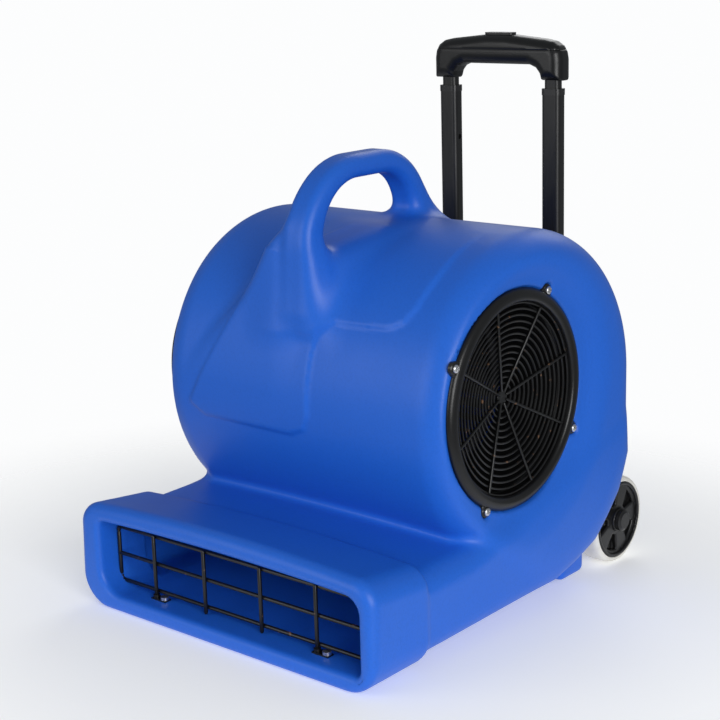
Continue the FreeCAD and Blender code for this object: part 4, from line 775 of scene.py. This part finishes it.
def housing_skin(x, y, z):
    """The drum and base as one skin, before the collar, handle and openings."""
    return join(drum(x, y, z), base(x, y, z), BASE_BLEND)


# What is added to the skin, in this order, each with the width of its fillet.
ADDITIONS = [(handle_web, 48), (handle, 26), (collar, 3), (axle_boss, 8), (heel, 8)]


def ring_seat(x, y, z, away):
    """The recess that holds an inlet ring's flange and its four ears, on both sides."""
    flange = away - FLANGE_RADIUS - FLANGE_GAP
    for side, facing in (("right", 1), ("left", -1)):
        for index in range(4):
            ear_y, ear_z = around_fan(side, index)
            ear = np.maximum(np.hypot(y - ear_y, z - ear_z) - EAR_RADIUS - FLANGE_GAP, -facing * x)
            flange = join(flange, ear, EAR_BLEND)
    return np.maximum(flange, SEAT_X - np.abs(x))


def housing(x, y, z):
    """The whole moulding: the skin and what it carries, hollowed and opened."""
    skin = housing_skin(x, y, z)
    body = skin - np.where(skin > -SHIELD_DEPTH, shield(x, y, z), 0)
    for addition, fillet in ADDITIONS:
        body = join(body, addition(x, y, z), fillet)
    height, down = panel_place(y, z)
    body = cut(body, np.maximum(rectangle(x, down, *PANEL_FLAT), -height), PANEL_BLEND)
    body = cut(body, mouth(x, y, z), MOUTH_BLEND)
    away = np.hypot(y - FAN_Y, z - FAN_Z)
    body = cut(body, ring_seat(x, y, z, away), SEAT_BLEND)
    seat_backing = np.maximum(away - SEAT_BACKING_RADIUS, SEAT_BACKING_X - np.abs(x))
    panel_backing = np.maximum(rectangle(x, down, *PANEL_BACKING), -height - WALL)
    inside = np.maximum(np.maximum(skin + WALL, -seat_backing), -panel_backing)
    window = np.maximum(rectangle(x, down, *PANEL_WINDOW), -height - 2 * WALL)
    bore = np.hypot(y - AXLE_Y, z - AXLE_Z) - AXLE_BORE
    for opening in (away - INLET_RADIUS, window, bore, foot_pocket(x, y, z)):
        inside = np.minimum(inside, opening)
    return np.maximum(body, -inside)


def in_frame(points):
    """Points of the housing's own axes, in the frame's metres."""
    turn = np.array(to_frame)
    return points @ turn[:3, :3].T + turn[:3, 3]


def add_piece(name, points, faces, material, body, replaced):
    """A smooth mesh piece, drawn in the housing's own axes, riding on a body."""
    mesh = bpy.data.meshes.new(name)
    mesh.from_pydata(in_frame(points).tolist(), [], faces.tolist())
    mesh.materials.append(material)
    mesh.shade_smooth()
    piece = bpy.data.objects.new(name, mesh)
    bpy.context.scene.collection.objects.link(piece)
    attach(piece, body)
    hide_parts(*replaced)
    return piece


def thin_inside(piece, inner, ratio):
    """Thin the mesh where the shell can't be seen, and leave its outside as it is."""
    group = piece.vertex_groups.new(name="inside")
    group.add(np.flatnonzero(inner).tolist(), 1.0, "REPLACE")
    thin = piece.modifiers.new("thin", "DECIMATE")
    thin.ratio, thin.vertex_group = ratio, group.name
    mesh = bpy.data.meshes.new_from_object(piece.evaluated_get(bpy.context.evaluated_depsgraph_get()))
    piece.modifiers.clear()
    piece.vertex_groups.clear()
    piece.data = mesh


def make_housing():
    """The shell, meshed from its field, in place of the CAD housing."""
    points, faces = net(housing, HOUSING_LOW, HOUSING_HIGH, HOUSING_STEP)
    points = settled(points, housing, SETTLE_LIMIT)
    points[:, 0] = np.clip(points[:, 0], -DRUM_HALF_WIDTH, DRUM_HALF_WIDTH)
    inner = housing_skin(*points.T) < -WALL / 2
    piece = add_piece("housing_shell", points, faces, materials["blue_shell"], "machine",
                      ["housing"])
    thin_inside(piece, inner, INSIDE_DETAIL)


# ---------------------------------------------------------------- turned and moulded fittings

WELD, SHARP_ANGLE = 1e-6, math.radians(35)
MOST_OF_SIDE = 0.45


def softened(points, radius, steps=3):
    """A closed outline with its corners rounded."""
    result = []
    count = len(points)
    for index, corner in enumerate(points):
        corner = np.array(corner, float)
        ends = []
        for other in (points[index - 1], points[(index + 1) % count]):
            way = np.array(other, float) - corner
            length = np.linalg.norm(way)
            ends.append(corner + way / length * min(radius, MOST_OF_SIDE * length))
        for share in np.linspace(0, 1, steps + 1):
            near = ends[0] * (1 - share) + corner * share
            far = corner * (1 - share) + ends[1] * share
            result.append(tuple(near * (1 - share) + far * share))
    return result


def turned(profile, y, z, segments):
    """Points and faces of a closed profile of (x, radius) turned round an axis along x."""
    angles = np.linspace(0, 2 * math.pi, segments, endpoint=False)
    rows = np.array([[(x, y + radius * math.cos(a), z + radius * math.sin(a)) for a in angles]
                     for x, radius in profile])
    count = len(profile)
    number = np.arange(count * segments).reshape(count, segments)
    below, ahead = np.roll(number, -1, 0), np.roll(number, -1, 1)
    faces = np.stack([number, ahead, np.roll(below, -1, 1), below], -1).reshape(-1, 4)
    return rows.reshape(-1, 3), faces


def gathered(shapes):
    """Several shapes' points and faces as one."""
    points, faces, start = [], [], 0
    for some_points, some_faces in shapes:
        points.append(some_points)
        faces.append(np.asarray(some_faces) + start)
        start += len(some_points)
    return np.concatenate(points), np.concatenate(faces)


def mirrored(shape):
    points, faces = shape
    return points * (-1, 1, 1), faces[:, ::-1]


SIDES = (("right", lambda shape: shape), ("left", mirrored))


def finished(node, suffix, shape, material, body):
    """A piece in place of a CAD node, with its sharp edges kept crisp."""
    points, faces = shape
    piece = add_piece(node + suffix, points, faces, materials[material], body, [node])
    mesh = bmesh.new()
    mesh.from_mesh(piece.data)
    bmesh.ops.remove_doubles(mesh, verts=mesh.verts, dist=WELD)
    bmesh.ops.recalc_face_normals(mesh, faces=mesh.faces)
    mesh.to_mesh(piece.data)
    mesh.free()
    piece.data.shade_smooth()
    piece.data.set_sharp_from_angle(angle=SHARP_ANGLE)


def moulded(field, low, high, step):
    """Points and faces of a field's skin, settled onto it."""
    points, faces = net(field, low, high, step)
    return settled(points, field, step), faces


RING_PROFILE = [
    (183.3, 111.5), (186.2, 111.4), (188.6, 109.6), (190.3, 106.2), (190.6, 102.8), (189.6, 99.8),
    (188.2, 98.2), (186.2, 97.5), (173.5, 96.7), (171.6, 95.0), (168.0, 94.4), (150.0, 91.0),
    (130.0, 87.2), (112.0, 85.4), (108.0, 85.0), (108.0, 87.6), (130.0, 89.8), (165.0, 97.0),
    (178.0, 100.3), (183.3, 100.6)]
RING_CORNER, RING_SEGMENTS, FITTING_SEGMENTS = 1.2, 160, 32
EAR_PROFILE = [(183.3, 0.0), (183.3, 6.5), (186.4, 6.5), (187.6, 5.6), (188.0, 4.4), (188.0, 0.0)]
EAR_TOP, EAR_ROOT_PLACE, EAR_ROOT_SCALE, EAR_ROOT_DROP = 188.0, 0.962, 1.25, 0.1


def ring_shape(side):
    """The inlet ring: a full round flange, a step for the guard, a bellmouth and four ears."""
    shapes = [turned(softened(RING_PROFILE, RING_CORNER), FAN_Y, FAN_Z, RING_SEGMENTS)]
    root = [(x - EAR_ROOT_DROP, radius * EAR_ROOT_SCALE) for x, radius in EAR_PROFILE]
    for index in range(4):
        y, z = around_fan(side, index)
        root_y, root_z = FAN_Y + (y - FAN_Y) * EAR_ROOT_PLACE, FAN_Z + (z - FAN_Z) * EAR_ROOT_PLACE
        shapes.append(turned(EAR_PROFILE, y, z, FITTING_SEGMENTS))
        shapes.append(turned(root, root_y, root_z, FITTING_SEGMENTS))
    return gathered(shapes)


DOME_RADIUS, DOME_DROP, DOME_BLEND = 6.4, 3.6, 0.8
HEAD_RADIUS, HEAD_TOP, HEAD_EDGE, HEAD_STEP = 4.3, 2.8, 0.3, 0.4
CROSS_LENGTH, CROSS_WIDTH, CROSS_CORNER, CROSS_TAPER, CROSS_FLOOR = 2.5, 0.5, 0.2, 0.22, 0.9
HEAD_LOW, HEAD_HIGH = (-0.6, -5.2, -5.2), (3.6, 5.2, 5.2)
HEAD_TURN = 0.6


def screw_head(x, y, z):
    """A domed head with a cross in it, facing along x from 0."""
    radius = np.hypot(y, z)
    dome = np.sqrt((x + DOME_DROP) ** 2 + radius ** 2) - DOME_RADIUS
    head = overlap(overlap(dome, radius - HEAD_RADIUS, DOME_BLEND), -x, HEAD_EDGE)
    cross = np.minimum(rectangle(y, z, CROSS_LENGTH, CROSS_WIDTH, CROSS_CORNER),
                       rectangle(y, z, CROSS_WIDTH, CROSS_LENGTH, CROSS_CORNER))
    return cut(head, np.maximum(cross + CROSS_TAPER * (HEAD_TOP - x), CROSS_FLOOR - x), HEAD_EDGE)


def screw_heads(places):
    """A head at each (x, y, z), turned a little further each time."""
    points, faces = moulded(screw_head, HEAD_LOW, HEAD_HIGH, HEAD_STEP)
    shapes = []
    for index, place in enumerate(places):
        cosine, sine = math.cos(HEAD_TURN * (index + 1)), math.sin(HEAD_TURN * (index + 1))
        spun = np.stack([points[:, 0], points[:, 1] * cosine - points[:, 2] * sine,
                         points[:, 1] * sine + points[:, 2] * cosine], 1)
        shapes.append((spun + place, faces))
    return gathered(shapes)


ROD_SIDES, ROD_SHOULDER, ROD_CHAMFER, UPRIGHT = 10, 0.7, 0.3, 0.9


def rod(start, end, radius):
    """A straight wire with round ends."""
    start, end = np.array(start, float), np.array(end, float)
    length = np.linalg.norm(end - start)
    way = (end - start) / length
    first = np.cross(way, (0, 0, 1) if abs(way[2]) < UPRIGHT else (0, 1, 0))
    first /= np.linalg.norm(first)
    second = np.cross(way, first)
    shoulder, chamfer = ROD_SHOULDER * radius, ROD_CHAMFER * radius
    profile = [(0, 0), (chamfer, shoulder), (radius, radius), (length - radius, radius),
               (length - chamfer, shoulder), (length, 0)]
    angles = np.linspace(0, 2 * math.pi, ROD_SIDES, endpoint=False)
    points = np.array([start + way * along + away * (first * math.cos(a) + second * math.sin(a))
                       for along, away in profile for a in angles])
    number = np.arange(len(profile) * ROD_SIDES).reshape(-1, ROD_SIDES)
    ahead = np.roll(number, -1, 1)
    faces = np.stack([number[:-1], ahead[:-1], ahead[1:], number[1:]], -1).reshape(-1, 4)
    return points, faces


# The guard's rim and its hub, each as (x, radius).
GUARD_RIM, GUARD_HUB = np.array((183.0, 96.2)), np.array((168.0, 8.0))
HUB_HALF_DEPTH, HUB_CORNER = 1.5, 0.8
GUARD_RINGS, GUARD_WIRE, GUARD_WIRE_SIDES, GUARD_SEGMENTS = 14, 1.2, 8, 120
GUARD_SPOKES, GUARD_SPOKE, SPOKE_RAISE, SPOKE_OVERLAP = 8, 1.45, 1.6, 2


def guard_shape():
    """The fan guard: round wires on eight spokes, sunk towards its middle."""
    hub_x, hub_radius = GUARD_HUB
    low, high = hub_x - HUB_HALF_DEPTH, hub_x + HUB_HALF_DEPTH
    hub = [(low, 0), (low, hub_radius), (high, hub_radius), (high, 0)]
    shapes = [turned(softened(hub, HUB_CORNER), FAN_Y, FAN_Z, FITTING_SEGMENTS)]
    for index in range(GUARD_RINGS):
        share = (index + 1) / GUARD_RINGS
        x, radius = GUARD_HUB * (1 - share) + GUARD_RIM * share
        wire = [(x + GUARD_WIRE * math.cos(a), radius + GUARD_WIRE * math.sin(a))
                for a in np.linspace(0, 2 * math.pi, GUARD_WIRE_SIDES, endpoint=False)]
        shapes.append(turned(wire, FAN_Y, FAN_Z, GUARD_SEGMENTS))
    centre = np.array((0, FAN_Y, FAN_Z))
    for index in range(GUARD_SPOKES):
        angle = math.radians(EAR_START["right"] + 360 / GUARD_SPOKES * index)
        way = np.array((0, math.cos(angle), math.sin(angle)))
        shapes.append(rod(centre + way * (hub_radius - SPOKE_OVERLAP) + (hub_x + SPOKE_RAISE, 0, 0),
                          centre + way * GUARD_RIM[1] + (GUARD_RIM[0] + SPOKE_RAISE, 0, 0), GUARD_SPOKE))
    return gathered(shapes)


def make_inlets():
    guard = guard_shape()
    for side, turn in SIDES:
        heads = screw_heads([(EAR_TOP, *around_fan(side, index)) for index in range(4)])
        finished("inlet_ring_" + side, "_turned", turn(ring_shape(side)), "black_moulding", "machine")
        finished("inlet_guard_" + side, "_wires", turn(guard), "black_wire", "machine")
        finished("inlet_screws_" + side, "_heads", turn(heads), "bright_screws", "machine")


GRILLE_Y, GRILLE_WIRE, GRILLE_CORNER, GRILLE_CORNER_STEPS = 27.0, 2.1, 5.0, 4
GRILLE_LEFT, GRILLE_RIGHT, GRILLE_OVERHANG = -167.0, 176.0, 1
GRILLE_LOW, GRILLE_MIDDLE, GRILLE_HIGH = 20.2, 49.5, 79.0
BARS_X, BARS_Y = (-110.5, -38.5, 38.5, 110.5), GRILLE_Y - 3.4
BARS_LOW, BARS_HIGH = MOUTH_BOTTOM + 0.3, GRILLE_HIGH + 3


def make_grille():
    """The outlet grille: a frame of wire across the mouth, with a middle wire and four bars."""
    left, right = GRILLE_LEFT - GRILLE_OVERHANG, GRILLE_RIGHT + GRILLE_OVERHANG
    wires = [rod((left, GRILLE_Y, GRILLE_MIDDLE), (right, GRILLE_Y, GRILLE_MIDDLE), GRILLE_WIRE)]
    corners = [(GRILLE_LEFT, GRILLE_LOW), (GRILLE_RIGHT, GRILLE_LOW),
               (GRILLE_RIGHT, GRILLE_HIGH), (GRILLE_LEFT, GRILLE_HIGH)]
    outline = softened(corners, GRILLE_CORNER, GRILLE_CORNER_STEPS)
    for (x, z), (next_x, next_z) in zip(outline, outline[1:] + outline[:1]):
        wires.append(rod((x, GRILLE_Y, z), (next_x, GRILLE_Y, next_z), GRILLE_WIRE))
    wires += [rod((x, BARS_Y, BARS_LOW), (x, BARS_Y, BARS_HIGH), GRILLE_WIRE) for x in BARS_X]
    finished("outlet_grille", "_wires", gathered(wires), "black_wire", "machine")


GRIP_OUTLINE = [
    (-85.5, 510), (-85.5, 533), (-84, 541), (-80, 547.5), (-73, 552), (-62, 554.2), (-40, 556.4),
    (-14, 559), (14, 559), (40, 556.4), (62, 554.2), (73, 552), (80, 547.5), (84, 541), (85.5, 533),
    (85.5, 510), (59, 510), (57, 517), (52, 523), (43, 526.6), (-43, 526.6), (-52, 523), (-57, 517),
    (-59, 510)]
TROLLEY_Y, GRIP_HALF_DEPTH, GRIP_ROUND = 485.0, 15, 11.5
GRIP_SEAM, GRIP_SEAM_GAP, GRIP_SEAM_EDGE = 543.0, 0.08, 0.4
GRIP_LOW, GRIP_HIGH, GRIP_STEP = (-88, TROLLEY_Y - 18, 506), (88, TROLLEY_Y + 18, 562), 1.5


def make_grip():
    """The trolley's grip, in the two halves that meet at its seam."""
    for name, side in (("grip_lower", 1), ("grip_upper", -1)):
        def half(x, y, z, side=side):
            whole = extruded(polygon(x, z, GRIP_OUTLINE), y - TROLLEY_Y, GRIP_HALF_DEPTH, GRIP_ROUND)
            return overlap(whole, side * (z - GRIP_SEAM) + GRIP_SEAM_GAP, GRIP_SEAM_EDGE)
        shape = moulded(half, GRIP_LOW, GRIP_HIGH, GRIP_STEP)
        finished(name, "_moulded", shape, "black_moulding", "handle")


WHEEL_INNER, WHEEL_OUTER, TYRE_SEAT, TYRE_RADIUS = 138.0, 167.0, 43.5, 49.5
TYRE_PROFILE = [
    (WHEEL_INNER, TYRE_SEAT), (WHEEL_INNER, 45.5), (WHEEL_INNER + 1.2, 47.6), (WHEEL_INNER + 4.2, 49.1),
    (WHEEL_INNER + 8, TYRE_RADIUS), (WHEEL_OUTER - 8, TYRE_RADIUS), (WHEEL_OUTER - 4.2, 49.1),
    (WHEEL_OUTER - 1.2, 47.6), (WHEEL_OUTER, 45.5), (WHEEL_OUTER, TYRE_SEAT)]
TYRE_CORNER, TYRE_SEGMENTS = 1.0, 120
# Each of the hub's turned solids, as its middle's x, half its width and its edge's radius.
HUB_DISC, HUB_BOSS = (153.0, 14.6, 1.6), (156.0, 12.2, 1.4)
HUB_SEAT_GAP, HUB_BOSS_RADIUS, HUB_BOSS_BLEND, HUB_BORE = 0.1, 13.2, 1.6, 6.2
RECESS_RADIUS, RECESS_X, RECESS_BLEND = 39.2, 164.2, 2.0
BACK_OUTER, BACK_INNER, BACK_X, BACK_BLEND = 38.5, 14.5, 152.0, 1.5
POCKETS, POCKET_INNER, POCKET_OUTER, POCKET_X = 5, 17.0, 36.5, 158.5
POCKET_ACROSS, POCKET_ALONG, POCKET_SPOKE, POCKET_SHRINK, POCKET_BLEND = 0.88, 0.40, 3.6, 1.0, 2.4
WHEEL_REACH, WHEEL_STEP = 45, 1.3


def wheel_hub(x, y, z):
    """The road wheel's hub: a rim ring, a dished web with five rounded pockets, and a boss."""
    radius = np.hypot(y - AXLE_Y, z - AXLE_Z)
    angle = np.arctan2(z - AXLE_Z, y - AXLE_Y)
    disc_x, half_width, edge = HUB_DISC
    disc = extruded(radius - TYRE_SEAT + HUB_SEAT_GAP, x - disc_x, half_width, edge)
    body = cut(disc, np.maximum(radius - RECESS_RADIUS, RECESS_X - x), RECESS_BLEND)
    share = np.mod(angle, 2 * math.pi / POCKETS) - math.pi / POCKETS
    along, across = radius * np.cos(share), radius * np.abs(np.sin(share))
    wedge = np.maximum(across * POCKET_ACROSS - along * POCKET_ALONG + POCKET_SPOKE,
                       np.maximum(POCKET_INNER - along, radius - POCKET_OUTER))
    body = cut(body, np.maximum(wedge + POCKET_SHRINK, POCKET_X - x), POCKET_BLEND)
    boss_x, half_width, edge = HUB_BOSS
    body = join(body, extruded(radius - HUB_BOSS_RADIUS, x - boss_x, half_width, edge), HUB_BOSS_BLEND)
    back = np.maximum(np.maximum(radius - BACK_OUTER, BACK_INNER - radius), x - BACK_X)
    return np.maximum(cut(body, back, BACK_BLEND), HUB_BORE - radius)


def make_wheels():
    low = (WHEEL_INNER - 1.5, AXLE_Y - WHEEL_REACH, AXLE_Z - WHEEL_REACH)
    high = (WHEEL_OUTER + 2.5, AXLE_Y + WHEEL_REACH, AXLE_Z + WHEEL_REACH)
    hub = moulded(wheel_hub, low, high, WHEEL_STEP)
    tyre = turned(softened(TYRE_PROFILE, TYRE_CORNER), AXLE_Y, AXLE_Z, TYRE_SEGMENTS)
    for side, turn in SIDES:
        finished("wheel_hub_" + side, "_moulded", turn(hub), "black_moulding", side + "_wheel")
        finished("tyre_" + side, "_moulded", turn(tyre), "pale_tyre", side + "_wheel")


make_camera()
make_studio()
make_floor()
paint_nodes()
make_housing()
make_inlets()
make_grille()
make_grip()
make_wheels()
